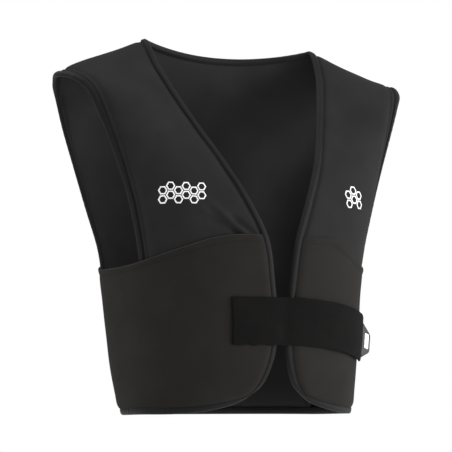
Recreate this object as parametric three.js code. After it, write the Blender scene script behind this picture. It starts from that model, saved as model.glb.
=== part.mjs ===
// A padded rib protector vest in the form it has when worn: two front panels, a back panel,
// a side band on each flank, rolled edge bindings, and a wide closure strap with a pull tab.
import * as THREE from 'three';

// Units are millimetres. The origin lies midway between the two neck points, +Z is up,
// the wearer looks towards -Y, and the wearer's right side is -X.
const HEIGHT = 445;
const NECK_HALF = 114;
const NECK_SET_BACK = 23;
const NECK_DIP = 14;
// How far the neck points lie behind the middle of the vest's depth.
const NECK_BEHIND_MIDDLE = 7;
const RIB_HALF = 150;
const SHOULDER_OVERHANG = 82;
const SHOULDER_DROP = 43.5;
const SHOULDER_SAG = 2.2;
const FRONT_DEPTH = 124;
const BACK_DEPTH = 120;

// The padded panels and the bindings folded over their rims.
const PANEL_THICKNESS = 6;
const RIM_THICKNESS = 3.2;
const BINDING_WIDTH = 6.5;
const BINDING_WALL = 1.2;
const BINDING_CLEARANCE = 0.4;
const BINDING_NOSE = 0.45;
const BINDING_MARGIN = 0.8;
const BEVEL_WIDTH = 1.8;
const NECK_POINT_PINCH = 0.9;
const CLEARANCE = 0.3;
// The armhole bindings end under the side bands, at this row of the tables below.
const ARMHOLE_END = 7;

// The side bands.
const BAND_THICKNESS = 2;
const BAND_LIFT = 0.6;
const BAND_BACK_WIDTH = 62;
const GAP_FULLNESS = 0.55;

// The closure strap, the patch of hooks under its free end and the pull tab on that end.
const STRAP_WIDTH = 55;
const STRAP_THICKNESS = 2.6;
const STRAP_LEVEL = 337;
const STRAP_FALL = 22;
const STRAP_FALL_POWER = 1.6;
const STRAP_RISE = 0.83;
const STRAP_START = 64;
const STRAP_END = 138;
const HOOK_PATCH_START = 88;
const HOOK_PATCH_END = 132;
const HOOK_PATCH_THICKNESS = 1.4;
const HOOK_PATCH_INSET = 5;
const TAB_LENGTH = 24;
const TAB_ROOT_WIDTH = 44;
const TAB_TIP_WIDTH = 22;
const TAB_THICKNESS = 2.2;
const TAB_CORNER = 4;
const TAB_STAND_OFF = 20;

// The middle of the depth, from which the sections' depths are measured.
const MIDDLE_Y = -NECK_BEHIND_MIDDLE;
// The ends of every section leave at this share of the section's chord.
const HANDLE = 0.38;
// The share of the half back that lies inside the neck point.
const NECK_SHARE = 0.48;
// Front sections below this share of HEIGHT drop quickly beside the rounded corner.
const CORNER_START = 0.9;
const CORNER_POWER = 3;
const SMALL_STEP = 1e-3;
const HALVINGS = 30;

// Sections across a front panel, from the shoulder to the hem. Shares: down of HEIGHT, x of NECK_HALF,
// y and outY of FRONT_DEPTH, outDown of HEIGHT less SHOULDER_DROP, rib of RIB_HALF and flare of
// SHOULDER_OVERHANG. turn and outTurn are degrees from straight across, at the front and outer edge.
const FRONT_SECTIONS = [
  { down: 0, x: 1, y: 0, turn: 0, outDown: 0, rib: 1, flare: 1, outY: 0, outTurn: -10 },
  { down: 0.072, x: 0.96, y: 0.153, turn: 2, outDown: 0.024, rib: 1, flare: 0.9, outY: 0.21, outTurn: 12 },
  { down: 0.14, x: 0.873, y: 0.306, turn: 6, outDown: 0.064, rib: 1, flare: 0.765, outY: 0.315, outTurn: 28 },
  { down: 0.23, x: 0.73, y: 0.508, turn: 8, outDown: 0.144, rib: 1, flare: 0.6, outY: 0.371, outTurn: 40 },
  { down: 0.343, x: 0.532, y: 0.766, turn: 8, outDown: 0.27, rib: 1, flare: 0.37, outY: 0.411, outTurn: 52 },
  { down: 0.456, x: 0.317, y: 0.927, turn: 6, outDown: 0.395, rib: 1, flare: 0.18, outY: 0.427, outTurn: 60 },
  { down: 0.546, x: 0.172, y: 0.992, turn: 2, outDown: 0.508, rib: 1, flare: 0.05, outY: 0.415, outTurn: 65 },
  { down: 0.659, x: 0.101, y: 0.992, turn: 0, outDown: 0.626, rib: 0.98, flare: 0, outY: 0.395, outTurn: 67 },
  { down: 0.772, x: 0.058, y: 0.976, turn: 0, outDown: 0.747, rib: 0.965, flare: 0, outY: 0.387, outTurn: 67 },
  { down: 0.862, x: 0.093, y: 0.944, turn: 0, outDown: 0.857, rib: 0.945, flare: 0, outY: 0.379, outTurn: 67 },
  { down: 0.923, x: 0.188, y: 0.895, turn: 0, outDown: 0.932, rib: 0.93, flare: 0, outY: 0.371, outTurn: 67 },
  { down: 0.956, x: 0.289, y: 0.839, turn: 0, outDown: 0.996, rib: 0.92, flare: 0, outY: 0.363, outTurn: 67 },
];

// Sections across the back panel, from below the neckline to the hem. y and outY are shares of
// BACK_DEPTH. midDown is the share of HEIGHT at the neck point's share of the width.
const BACK_SECTIONS = [
  { down: 0.113, y: 0.45, midDown: 0.095, outDown: 0.029, rib: 1, flare: 0.905, outY: 0.245, outTurn: 12 },
  { down: 0.208, y: 0.7, midDown: 0.194, outDown: 0.079, rib: 1, flare: 0.73, outY: 0.43, outTurn: 28 },
  { down: 0.298, y: 0.867, midDown: 0.284, outDown: 0.164, rib: 1, flare: 0.555, outY: 0.52, outTurn: 40 },
  { down: 0.388, y: 0.95, midDown: 0.379, outDown: 0.27, rib: 1, flare: 0.35, outY: 0.565, outTurn: 50 },
  { down: 0.479, y: 0.992, midDown: 0.475, outDown: 0.395, rib: 1, flare: 0.16, outY: 0.545, outTurn: 58 },
  { down: 0.569, y: 1, midDown: 0.565, outDown: 0.508, rib: 1, flare: 0.02, outY: 0.475, outTurn: 65 },
  { down: 0.682, y: 0.975, midDown: 0.678, outDown: 0.634, rib: 0.98, flare: 0, outY: 0.42, outTurn: 67 },
  { down: 0.783, y: 0.917, midDown: 0.781, outDown: 0.757, rib: 0.96, flare: 0, outY: 0.37, outTurn: 67 },
  { down: 0.885, y: 0.842, midDown: 0.885, outDown: 0.87, rib: 0.935, flare: 0, outY: 0.33, outTurn: 67 },
  { down: 1, y: 0.733, midDown: 1, outDown: 1, rib: 0.88, flare: 0, outY: 0.267, outTurn: 67 },
];

// The upper edge of each side band, from the front edge round to the seam on the back.
// along runs from 0 to 1 on the front panel, 1 to 2 over the side gap and 2 to 3 on the back.
// down is a share of HEIGHT.
const RIGHT_BAND_TOP = [
  { along: 0, down: 0.534 },
  { along: 0.24, down: 0.535 },
  { along: 0.4, down: 0.543 },
  { along: 0.64, down: 0.567 },
  { along: 0.9, down: 0.594 },
  { along: 1, down: 0.604 },
  { along: 1.5, down: 0.616 },
  { along: 2, down: 0.613 },
  { along: 3, down: 0.58 },
];
const LEFT_BAND_TOP = [
  { along: 0, down: 0.532 },
  { along: 0.08, down: 0.535 },
  { along: 0.3, down: 0.538 },
  { along: 0.42, down: 0.555 },
  { along: 0.62, down: 0.588 },
  { along: 0.9, down: 0.606 },
  { along: 1.5, down: 0.616 },
  { along: 2, down: 0.613 },
  { along: 3, down: 0.58 },
];

const FABRIC_COLOUR = 0x1c1c1d;
const BAND_COLOUR = 0x211f1d;
const BINDING_COLOUR = 0x161617;
const STRAP_COLOUR = 0x121213;
const HOOK_COLOUR = 0x0d0d0d;
const TAB_COLOUR = 0x3c3c3c;

function matt(color, roughness) {
  return new THREE.MeshStandardMaterial({ color, roughness, metalness: 0 });
}

const panelFabric = matt(FABRIC_COLOUR, 0.9);
const bandFabric = matt(BAND_COLOUR, 0.85);
const bindingTape = matt(BINDING_COLOUR, 0.75);
const strapWebbing = matt(STRAP_COLOUR, 0.95);
const hookField = matt(HOOK_COLOUR, 0.9);
const tabRubber = matt(TAB_COLOUR, 0.6);

function vec(x, y, z) {
  return new THREE.Vector3(x, y, z);
}

function mix(a, b, t) {
  return a + (b - a) * t;
}

// A cubic curve in plan from the inner end to the outer end of a section.
function planCurve(innerEnd, outerEnd, turn, outTurn, s) {
  const reach = HANDLE * innerEnd.distanceTo(outerEnd);
  const leave = THREE.MathUtils.degToRad(turn);
  const arrive = THREE.MathUtils.degToRad(outTurn);
  const outwards = new THREE.Vector2(Math.cos(leave), Math.sin(leave));
  const inwards = new THREE.Vector2(-Math.cos(arrive), -Math.sin(arrive));
  const first = innerEnd.clone().addScaledVector(outwards, reach);
  const last = outerEnd.clone().addScaledVector(inwards, reach);
  return new THREE.CubicBezierCurve(innerEnd, first, last, outerEnd).getPoint(s);
}

function outerX(row) {
  return RIB_HALF * row.rib + SHOULDER_OVERHANG * row.flare;
}

function outerZ(row) {
  return -SHOULDER_DROP - (HEIGHT - SHOULDER_DROP) * row.outDown;
}

function frontSectionPoint(row, s) {
  const inner = new THREE.Vector2(NECK_HALF * row.x, MIDDLE_Y - FRONT_DEPTH * row.y);
  const outer = new THREE.Vector2(outerX(row), MIDDLE_Y - FRONT_DEPTH * row.outY);
  const plan = planCurve(inner, outer, row.turn, row.outTurn, s);
  const fall = Math.pow(1 - s, row.down > CORNER_START ? CORNER_POWER : 1);
  return vec(plan.x, plan.y, mix(outerZ(row), -HEIGHT * row.down, fall));
}

function shoulderPoint(s) {
  const tip = outerX(FRONT_SECTIONS[0]);
  const largest = 4 / 27;
  const sag = SHOULDER_SAG * s * (1 - s) * (1 - s) / largest;
  return vec(mix(NECK_HALF, tip, s), MIDDLE_Y * s, -SHOULDER_DROP * s - sag);
}

function backSectionPoint(row, s) {
  const middle = new THREE.Vector2(0, MIDDLE_Y + BACK_DEPTH * row.y);
  const outer = new THREE.Vector2(outerX(row), MIDDLE_Y + BACK_DEPTH * row.outY);
  const plan = planCurve(middle, outer, 0, -row.outTurn, s);
  const m = NECK_SHARE;
  const middleWeight = (s - m) * (s - 1) / m;
  const neckWeight = s * (s - 1) / (m * (m - 1));
  const outerWeight = s * (s - m) / (1 - m);
  const z = -HEIGHT * (row.down * middleWeight + row.midDown * neckWeight) + outerZ(row) * outerWeight;
  return vec(plan.x, plan.y, z);
}

// The top of the back follows the neckline to the neck point and then the shoulder.
function backTopPoint(s) {
  if (s > NECK_SHARE) {
    return shoulderPoint((s - NECK_SHARE) / (1 - NECK_SHARE));
  }
  const across = s / NECK_SHARE;
  const bow = 1 - across * across;
  return vec(NECK_HALF * across, NECK_SET_BACK * bow, -NECK_DIP * bow);
}

// Each loft starts with a row beyond the shoulder, so that front and back run smoothly into each other.
// Along the back neckline that row turns from straight on in the middle to over the shoulder.
function frontRows(s) {
  const beyond = backSectionPoint(BACK_SECTIONS[0], mix(NECK_SHARE, 1, s));
  const rows = FRONT_SECTIONS.slice(1).map((row) => frontSectionPoint(row, s));
  return [beyond, shoulderPoint(s), ...rows];
}

function backRows(s) {
  const top = backTopPoint(s);
  const rows = BACK_SECTIONS.map((row) => backSectionPoint(row, s));
  const straightOn = top.clone().multiplyScalar(2).sub(rows[0]);
  const alongShoulder = Math.max(0, (s - NECK_SHARE) / (1 - NECK_SHARE));
  const overShoulder = frontSectionPoint(FRONT_SECTIONS[1], alongShoulder);
  return [straightOn.lerp(overShoulder, Math.min(1, (s / NECK_SHARE) ** 3)), top, ...rows];
}

function runningLengths(rows) {
  return rows.slice(1).map((row, k) => row.distanceTo(rows[k]));
}

const front = { rows: frontRows, gaps: runningLengths(frontRows(0.5)), side: -1 };
const back = { rows: backRows, gaps: runningLengths(backRows(0.5)), side: 1 };
front.last = front.gaps.length - 1;
back.last = back.gaps.length - 1;

// A point on a loft: s runs from the middle to the outer edge, v from 0 at the top to last at the hem.
function loftPoint(loft, s, v) {
  const rows = loft.rows(s);
  const count = rows.length;
  const k = Math.min(Math.max(Math.floor(v + 1), 0), count - 2);
  const t = v + 1 - k;
  const slope = (i) => rows[i + 1].clone().sub(rows[i]).divideScalar(loft.gaps[i]);
  const tangent = (i) => {
    if (i === 0) {
      return slope(0);
    }
    if (i === count - 1) {
      return slope(count - 2);
    }
    const before = loft.gaps[i - 1];
    const after = loft.gaps[i];
    const sum = slope(i - 1).multiplyScalar(after).addScaledVector(slope(i), before);
    return sum.divideScalar(before + after);
  };
  const gap = loft.gaps[k];
  return vec(0, 0, 0)
    .addScaledVector(rows[k], 2 * t ** 3 - 3 * t ** 2 + 1)
    .addScaledVector(tangent(k), (t ** 3 - 2 * t ** 2 + t) * gap)
    .addScaledVector(rows[k + 1], -2 * t ** 3 + 3 * t ** 2)
    .addScaledVector(tangent(k + 1), (t ** 3 - t ** 2) * gap);
}

function loftNormal(loft, s, v) {
  const low = Math.max(s - SMALL_STEP, 0);
  const high = Math.min(s + SMALL_STEP, 1);
  const across = loftPoint(loft, high, v).sub(loftPoint(loft, low, v));
  const along = loftPoint(loft, s, v + SMALL_STEP).sub(loftPoint(loft, s, v - SMALL_STEP));
  return across.cross(along).multiplyScalar(loft.side).normalize();
}

// A point lifted off a loft on the wearer's left, where side is 1, or right, where side is -1.
function skin(loft, s, v, lift, side = 1) {
  const point = loftPoint(loft, s, v).addScaledVector(loftNormal(loft, s, v), lift);
  return vec(point.x * side, point.y, point.z);
}

// Columns and rows of the grids. A panel stays thin from a bound rim to LIP_DISTANCE from it, and has
// its full thickness from FULL_DISTANCE on.
const LIP_DISTANCE = BINDING_WIDTH + BINDING_MARGIN;
const FULL_DISTANCE = LIP_DISTANCE + BEVEL_WIDTH;

// The share of a section that lies within a distance of its end.
function edgeShare(loft, v, distance) {
  const chord = loftPoint(loft, 0, v).distanceTo(loftPoint(loft, 1, v));
  return distance / (3 * HANDLE * chord);
}

function hemRow(loft, s, distance) {
  const lastGap = loftPoint(loft, s, loft.last).distanceTo(loftPoint(loft, s, loft.last - 1));
  return loft.last - distance / lastGap;
}

function evenShares(count) {
  return Array.from({ length: count + 1 }, (_, i) => i / count);
}

// Each column is a function of v. The first three and the last three lie at the rims of a front panel.
const FRONT_SPANS = 7;
const frontColumns = [
  () => 0,
  (v) => edgeShare(front, v, LIP_DISTANCE),
  ...evenShares(FRONT_SPANS).map((share) => (v) => {
    const rim = edgeShare(front, v, FULL_DISTANCE);
    return mix(rim, 1 - rim, share);
  }),
  (v) => 1 - edgeShare(front, v, LIP_DISTANCE),
  () => 1,
];

// The two columns beyond the neck point start close to it, because the binding folds over that corner.
const NECK_PLACES = [0, 0.25, 0.5, 0.74, 0.89, 0.96, 1];
const NECK_SPANS = NECK_PLACES.length - 1;
const BLADE_SPANS = 5;
const CORNER_DISTANCES = [LIP_DISTANCE, FULL_DISTANCE];
const backColumns = [
  ...NECK_PLACES.map((share) => () => NECK_SHARE * share),
  ...evenShares(BLADE_SPANS).slice(1).map((share, k) => (v) => {
    const even = mix(NECK_SHARE, 1 - edgeShare(back, v, FULL_DISTANCE), share);
    if (k >= CORNER_DISTANCES.length) {
      return even;
    }
    const seam = shoulderPoint(0).distanceTo(shoulderPoint(1));
    const near = NECK_SHARE + CORNER_DISTANCES[k] / seam * (1 - NECK_SHARE);
    return mix(near, even, Math.min(v, 1));
  }),
  (v) => 1 - edgeShare(back, v, LIP_DISTANCE),
  () => 1,
];

// Each row is a function of s. Rows halve each interval of a table, and the last ones lie at the hem.
function halfSteps(last) {
  return Array.from({ length: 2 * last + 1 }, (_, i) => i / 2);
}

const frontLevels = [
  ...halfSteps(front.last - 2).map((v) => () => v),
  () => front.last - 1,
  (s) => hemRow(front, s, FULL_DISTANCE),
  (s) => hemRow(front, s, LIP_DISTANCE),
  () => front.last,
];

const backLevels = [
  () => 0,
  () => LIP_DISTANCE / back.gaps[1],
  () => FULL_DISTANCE / back.gaps[1],
  ...halfSteps(back.last - 1).slice(1).map((v) => () => v),
  () => back.last - 0.5,
  (s) => hemRow(back, s, FULL_DISTANCE),
  (s) => hemRow(back, s, LIP_DISTANCE),
  () => back.last,
];

const RECESS = (PANEL_THICKNESS - RIM_THICKNESS) / 2;

// Closed bodies

function geometryFrom(points, faces) {
  let volume = 0;
  for (const [a, b, c] of faces) {
    volume += points[a].dot(points[b].clone().cross(points[c]));
  }
  const outward = volume > 0 ? faces : faces.map(([a, b, c]) => [a, c, b]);
  const geometry = new THREE.BufferGeometry();
  const positions = points.flatMap((point) => point.toArray());
  geometry.setAttribute('position', new THREE.Float32BufferAttribute(positions, 3));
  geometry.setIndex(outward.flat());
  geometry.computeVertexNormals();
  return geometry;
}

// Two triangles for a four-sided face, split along its shorter diagonal.
function splitQuad(points, a, b, c, d) {
  if (points[a].distanceTo(points[c]) <= points[b].distanceTo(points[d])) {
    return [[a, b, c], [a, c, d]];
  }
  return [[a, b, d], [b, c, d]];
}

// A sheet with two faces, given as two grids of points, with its four rims closed.
function sheetBody(outer, inner) {
  const rows = outer.length;
  const columns = outer[0].length;
  const points = [...outer.flat(), ...inner.flat()];
  const top = (i, j) => i * columns + j;
  const under = (i, j) => rows * columns + i * columns + j;
  const faces = [];
  const quad = (a, b, c, d) => faces.push(...splitQuad(points, a, b, c, d));
  for (let i = 0; i < rows - 1; i++) {
    for (let j = 0; j < columns - 1; j++) {
      quad(top(i, j), top(i, j + 1), top(i + 1, j + 1), top(i + 1, j));
      quad(under(i, j), under(i + 1, j), under(i + 1, j + 1), under(i, j + 1));
    }
  }
  for (let j = 0; j < columns - 1; j++) {
    quad(top(0, j), under(0, j), under(0, j + 1), top(0, j + 1));
    quad(top(rows - 1, j + 1), under(rows - 1, j + 1), under(rows - 1, j), top(rows - 1, j));
  }
  for (let i = 0; i < rows - 1; i++) {
    quad(top(i + 1, 0), under(i + 1, 0), under(i, 0), top(i, 0));
    quad(top(i, columns - 1), under(i, columns - 1), under(i + 1, columns - 1), top(i + 1, columns - 1));
  }
  return geometryFrom(points, faces);
}

// A body swept through stations that each hold the same count of section points.
function sweptBody(stations, flatSection) {
  const size = stations[0].length;
  const points = stations.flat();
  const faces = [];
  for (let i = 0; i < stations.length - 1; i++) {
    for (let j = 0; j < size; j++) {
      const next = (j + 1) % size;
      const a = i * size + j;
      const b = i * size + next;
      faces.push(...splitQuad(points, a, b, b + size, a + size));
    }
  }
  const caps = THREE.ShapeUtils.triangulateShape(flatSection, []);
  const turned = THREE.ShapeUtils.isClockWise(flatSection);
  const end = (stations.length - 1) * size;
  for (const [a, b, c] of caps) {
    const flip = turned ? [a, b, c] : [a, c, b];
    faces.push(flip);
    faces.push([end + flip[0], end + flip[2], end + flip[1]]);
  }
  return geometryFrom(points, faces);
}

function named(name, geometry, material) {
  const mesh = new THREE.Mesh(geometry, material);
  mesh.name = name;
  return mesh;
}

// Panels

// How far the two faces of a panel lie off its loft: closer together under a binding, and closest
// at the neck points.
function panelLift(bound, pinch = 0) {
  return bound ? [-RECESS - pinch / 3, -RECESS - RIM_THICKNESS + pinch] : [0, -PANEL_THICKNESS];
}

function frontPanel(side) {
  const seamGap = CLEARANCE / 2 / front.gaps[1];
  const outer = [];
  const inner = [];
  frontLevels.forEach((level, i) => {
    const rows = [[], []];
    frontColumns.forEach((column, j) => {
      const rough = level(column(front.last));
      const s = column(rough);
      const v = Math.max(level(s), seamGap);
      const bound = j < 2 || j > frontColumns.length - 3 || i > frontLevels.length - 3;
      const lifts = panelLift(bound);
      rows[0].push(skin(front, s, v, lifts[0], side));
      rows[1].push(skin(front, s, v, lifts[1], side));
    });
    outer.push(rows[0]);
    inner.push(rows[1]);
  });
  return sheetBody(outer, inner);
}

function backPanel() {
  const seamGap = CLEARANCE / 2 / back.gaps[1];
  const outer = [];
  const inner = [];
  const mirrored = backColumns.slice(1).reverse().map((column) => ({ column, side: -1 }));
  const columns = [...mirrored, ...backColumns.map((column) => ({ column, side: 1 }))];
  backLevels.forEach((level, i) => {
    const rows = [[], []];
    columns.forEach(({ column, side }, j) => {
      const rough = level(column(back.last));
      const s = column(rough);
      const v = Math.max(level(s), seamGap);
      const atRim = j < 2 || j > columns.length - 3 || i > backLevels.length - 3;
      const fromMiddle = Math.abs(j - (columns.length - 1) / 2);
      const atNeck = i < 2 && fromMiddle <= NECK_SPANS + 1;
      const atPoint = i < 2 && Math.abs(fromMiddle - NECK_SPANS) <= 2;
      const lifts = panelLift(atRim || atNeck, atPoint ? NECK_POINT_PINCH : 0);
      rows[0].push(skin(back, s, v, lifts[0], side));
      rows[1].push(skin(back, s, v, lifts[1], side));
    });
    outer.push(rows[0]);
    inner.push(rows[1]);
  });
  return sheetBody(outer, inner);
}

// Bindings

// A station of a binding: the panel's rim, and the line on the panel that the binding's lips reach.
function rimStation(loft, rim, lip, side) {
  const at = ([s, v], lift) => skin(loft, s, v, lift, side);
  return {
    rim: (lift) => at(rim, lift),
    lip: (lift) => at(lip, lift),
  };
}

function hemStation(loft, s, side) {
  return rimStation(loft, [s, loft.last], [s, hemRow(loft, s, BINDING_WIDTH)], side);
}

function frontEdgeStation(v, side) {
  const lipShare = edgeShare(front, v, BINDING_WIDTH);
  return rimStation(front, [0, v], [lipShare, v], side);
}

function outerEdgeStation(loft, v, side) {
  const lipShare = 1 - edgeShare(loft, v, BINDING_WIDTH);
  return rimStation(loft, [1, v], [lipShare, v], side);
}

function necklineStation(s, side, lipShare = s) {
  return rimStation(back, [s, 0], [lipShare, BINDING_WIDTH / back.gaps[1]], side);
}

// The folded tape: its outer wall goes round the rim, and its inner wall keeps clear of the panel.
function bindingSection(station, previous, next, turn) {
  const middle = -RECESS - RIM_THICKNESS / 2;
  const half = RIM_THICKNESS / 2 + BINDING_CLEARANCE;
  const whole = half + BINDING_WALL;
  const here = station.rim(middle);
  const normal = station.rim(middle + 1).sub(here).normalize();
  const away = (from, to) => to.clone().sub(from).cross(normal).normalize().multiplyScalar(turn);
  const before = away(previous ?? here.clone().sub(next).add(here), here);
  const after = away(here, next ?? here.clone().sub(previous).add(here));
  const out = before.clone().add(after).divideScalar(1 + before.dot(after));
  const rim = (lift, reach) => station.rim(middle + lift).addScaledVector(out, reach);
  const nose = BINDING_CLEARANCE + BINDING_WALL;
  return [
    station.lip(middle + whole),
    rim(whole, BINDING_CLEARANCE),
    rim(whole * BINDING_NOSE, nose),
    rim(-whole * BINDING_NOSE, nose),
    rim(-whole, BINDING_CLEARANCE),
    station.lip(middle - whole),
    station.lip(middle - half),
    rim(-half, BINDING_CLEARANCE),
    rim(half, BINDING_CLEARANCE),
    station.lip(middle + half),
  ];
}

// The same section drawn flat, for closing the ends of a binding.
function flatBinding() {
  const half = RIM_THICKNESS / 2 + BINDING_CLEARANCE;
  const whole = half + BINDING_WALL;
  const nose = BINDING_CLEARANCE + BINDING_WALL;
  return [
    new THREE.Vector2(-BINDING_WIDTH, whole),
    new THREE.Vector2(0, whole),
    new THREE.Vector2(nose, whole * BINDING_NOSE),
    new THREE.Vector2(nose, -whole * BINDING_NOSE),
    new THREE.Vector2(0, -whole),
    new THREE.Vector2(-BINDING_WIDTH, -whole),
    new THREE.Vector2(-BINDING_WIDTH, -half),
    new THREE.Vector2(BINDING_CLEARANCE, -half),
    new THREE.Vector2(BINDING_CLEARANCE, half),
    new THREE.Vector2(-BINDING_WIDTH, half),
  ];
}

// turn is 1 where the panel lies to the left of the path, seen from outside, and -1 to its right.
function binding(stations, turn = 1) {
  const middle = -RECESS - RIM_THICKNESS / 2;
  const line = stations.map((station) => station.rim(middle));
  const sections = stations.map((station, i) => bindingSection(station, line[i - 1], line[i + 1], turn));
  return sweptBody(sections, flatBinding());
}

// One tape runs from the hem of one front, up its edge, round the neck and down to the other hem.
function edgeBinding() {
  const hemShares = frontColumns.slice(1).map((column) => column(front.last));
  const edgeLevels = frontLevels.slice(1, -2).map((level) => level(0));
  const neckShares = backColumns.slice(1, NECK_SPANS).map((column) => column(0));
  const corner = (side) => {
    const lip = [edgeShare(front, front.last, BINDING_WIDTH), hemRow(front, 0, BINDING_WIDTH)];
    return rimStation(front, [0, front.last], lip, side);
  };
  const half = (side) => [
    ...hemShares.slice().reverse().map((s) => hemStation(front, s, side)),
    corner(side),
    ...edgeLevels.slice().reverse().map((v) => frontEdgeStation(v, side)),
    neckPointStation(side),
    ...neckShares.slice().reverse().map((s, i) => necklineStation(s, side, i === 0 ? NECK_SHARE : s)),
  ];
  return binding([...half(-1), necklineStation(0, 1), ...half(1).reverse()]);
}

function neckPointStation(side) {
  const lip = [edgeShare(front, 0, BINDING_WIDTH), 0];
  return rimStation(front, [0, 0], lip, side);
}

// One tape runs from under the side band, up the front, over the shoulder and down the back.
function armholeBinding(side) {
  const upTo = (levels) => levels.slice(1).map((level) => level(1)).filter((v) => v <= ARMHOLE_END);
  const frontStations = upTo(frontLevels).reverse().map((v) => outerEdgeStation(front, v, side));
  const tip = outerEdgeStation(front, 0, side);
  const backStations = upTo(backLevels).map((v) => outerEdgeStation(back, v, side));
  return binding([...frontStations, tip, ...backStations], side);
}

function backHemBinding() {
  const shares = backColumns.map((column) => column(back.last));
  const left = shares.map((s) => hemStation(back, s, 1));
  const right = shares.slice(1).map((s) => hemStation(back, s, -1));
  return binding([...left.reverse(), ...right]);
}

// Side bands

// The row value at which a loft comes down to a given height.
function atHeight(loft, s, z) {
  let low = 0;
  let high = loft.last;
  for (let i = 0; i < HALVINGS; i++) {
    const middle = (low + high) / 2;
    if (loftPoint(loft, s, middle).z > z) {
      low = middle;
    } else {
      high = middle;
    }
  }
  return (low + high) / 2;
}

// A smooth value from a table, read at a place between its rows.
function readTable(table, key, value, place) {
  const last = table.length - 1;
  let k = table.findIndex((row, i) => i < last && place <= table[i + 1][key]);
  k = k < 0 ? last - 1 : k;
  const gap = (i) => table[i + 1][key] - table[i][key];
  const slope = (i) => (table[i + 1][value] - table[i][value]) / gap(i);
  const tangent = (i) => {
    if (i === 0) {
      return slope(0);
    }
    if (i === last) {
      return slope(last - 1);
    }
    return (slope(i - 1) * gap(i) + slope(i) * gap(i - 1)) / (gap(i - 1) + gap(i));
  };
  const t = (place - table[k][key]) / gap(k);
  const step = gap(k);
  return (2 * t ** 3 - 3 * t ** 2 + 1) * table[k][value] + (t ** 3 - 2 * t ** 2 + t) * step * tangent(k)
    + (-2 * t ** 3 + 3 * t ** 2) * table[k + 1][value] + (t ** 3 - t ** 2) * step * tangent(k + 1);
}

const GAP_SPANS = 4;
const BAND_BACK_SPANS = 4;
// Rows that both panels have below the upper edge of a band.
const BAND_LEVELS = [7, 7.5, 8, 8.5, 9];

// The columns of a band: on the front panel, over the side gap, and on the back panel.
function bandColumns(top) {
  const onFront = frontColumns.slice(2).map((column) => {
    return { loft: front, column, along: column(front.last / 2) };
  });
  const overGap = evenShares(GAP_SPANS).slice(1, -1).map((share) => ({ share, along: 1 + share }));
  const reach = edgeShare(back, BAND_LEVELS[2], BAND_BACK_WIDTH);
  const onBack = evenShares(BAND_BACK_SPANS).map((share) => {
    return { loft: back, column: () => 1 - reach * share, along: 2 + share };
  });
  return [...onFront, ...overGap, ...onBack].map((place) => {
    return { ...place, z: -HEIGHT * readTable(top, 'along', 'down', place.along) };
  });
}

// Below its upper edge a band has its rows where the panels have theirs, so that it lies flat on them.
function bandLevels(place) {
  const { loft, column, z } = place;
  const rough = atHeight(loft, column(loft.last / 2), z);
  const top = atHeight(loft, column(rough), z);
  const hem = hemRow(loft, column(loft.last), FULL_DISTANCE);
  const nextToHem = loft === front ? front.last - 1 : back.last - 0.5;
  return [top, (top + BAND_LEVELS[0]) / 2, ...BAND_LEVELS, nextToHem, hem];
}

function bandColumnPoints(place, lift, side) {
  return bandLevels(place).map((v) => skin(place.loft, place.column(v), v, lift, side));
}

// Over the side gap the cloth spans from one panel's edge to the other's in a shallow curve.
function bandPointOverGap(share, frontEdge, backEdge, frontNear, backNear) {
  const reach = HANDLE * frontEdge.distanceTo(backEdge);
  const leave = frontEdge.clone().sub(frontNear).normalize().multiplyScalar(reach);
  const arrive = backEdge.clone().sub(backNear).normalize().multiplyScalar(reach);
  const first = frontEdge.clone().addScaledVector(leave, GAP_FULLNESS);
  const last = backEdge.clone().addScaledVector(arrive, GAP_FULLNESS);
  return new THREE.CubicBezierCurve3(frontEdge, first, last, backEdge).getPoint(share);
}

function bandFace(top, lift, side) {
  const places = bandColumns(top);
  const fixed = places.map((place) => place.loft && bandColumnPoints(place, lift, side));
  const frontEdge = frontColumns.length - 3;
  const backEdge = frontEdge + GAP_SPANS;
  return fixed[0].map((_, i) => places.map((place, j) => {
    if (fixed[j]) {
      return fixed[j][i];
    }
    return bandPointOverGap(place.share, fixed[frontEdge][i], fixed[backEdge][i],
      fixed[frontEdge - 1][i], fixed[backEdge + 1][i]);
  }));
}

function sideBand(top, side) {
  return sheetBody(bandFace(top, BAND_LIFT + BAND_THICKNESS, side), bandFace(top, BAND_LIFT, side));
}

// Closure strap, with the hook patch under its free end and the pull tab beyond it

const STRAP_LOW_LIFT = BAND_LIFT + BAND_THICKNESS + CLEARANCE;
const STRAP_HIGH_LIFT = STRAP_LOW_LIFT + HOOK_PATCH_THICKNESS + 2 * CLEARANCE;

function strapLevel() {
  return atHeight(front, 0, -STRAP_LEVEL);
}

// The loft share at which the front panel comes out to a given half width.
function atWidth(v, x) {
  let low = 0;
  let high = 1;
  for (let i = 0; i < HALVINGS; i++) {
    const middle = (low + high) / 2;
    if (loftPoint(front, middle, v).x < x) {
      low = middle;
    } else {
      high = middle;
    }
  }
  return (low + high) / 2;
}

// A station of the strap: the loft share and side, its height, and how far it lies off the panel.
function strapStation(s, side) {
  const fall = side > 0 ? STRAP_FALL * Math.pow(s, STRAP_FALL_POWER) : 0;
  const risen = STRAP_RISE * atWidth(strapLevel(), HOOK_PATCH_START);
  const rise = side > 0 ? Math.min(s / risen, 1) : 0;
  return { s, side, z: -STRAP_LEVEL - fall, lift: mix(STRAP_LOW_LIFT, STRAP_HIGH_LIFT, rise) };
}

function shareRange(from, to, spans) {
  return evenShares(spans).map((share) => mix(from, to, share));
}

// The strap runs from its sewn end on the right front, across the opening, to its free end on the left.
function strapStations() {
  const level = strapLevel();
  const edge = edgeShare(front, level, BINDING_WIDTH);
  const start = atWidth(level, STRAP_START);
  const end = atWidth(level, STRAP_END);
  const right = shareRange(start, edge, 4).map((s) => strapStation(s, -1));
  const left = shareRange(edge, end, 9).map((s) => strapStation(s, 1));
  return [...right, ...left];
}

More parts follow.
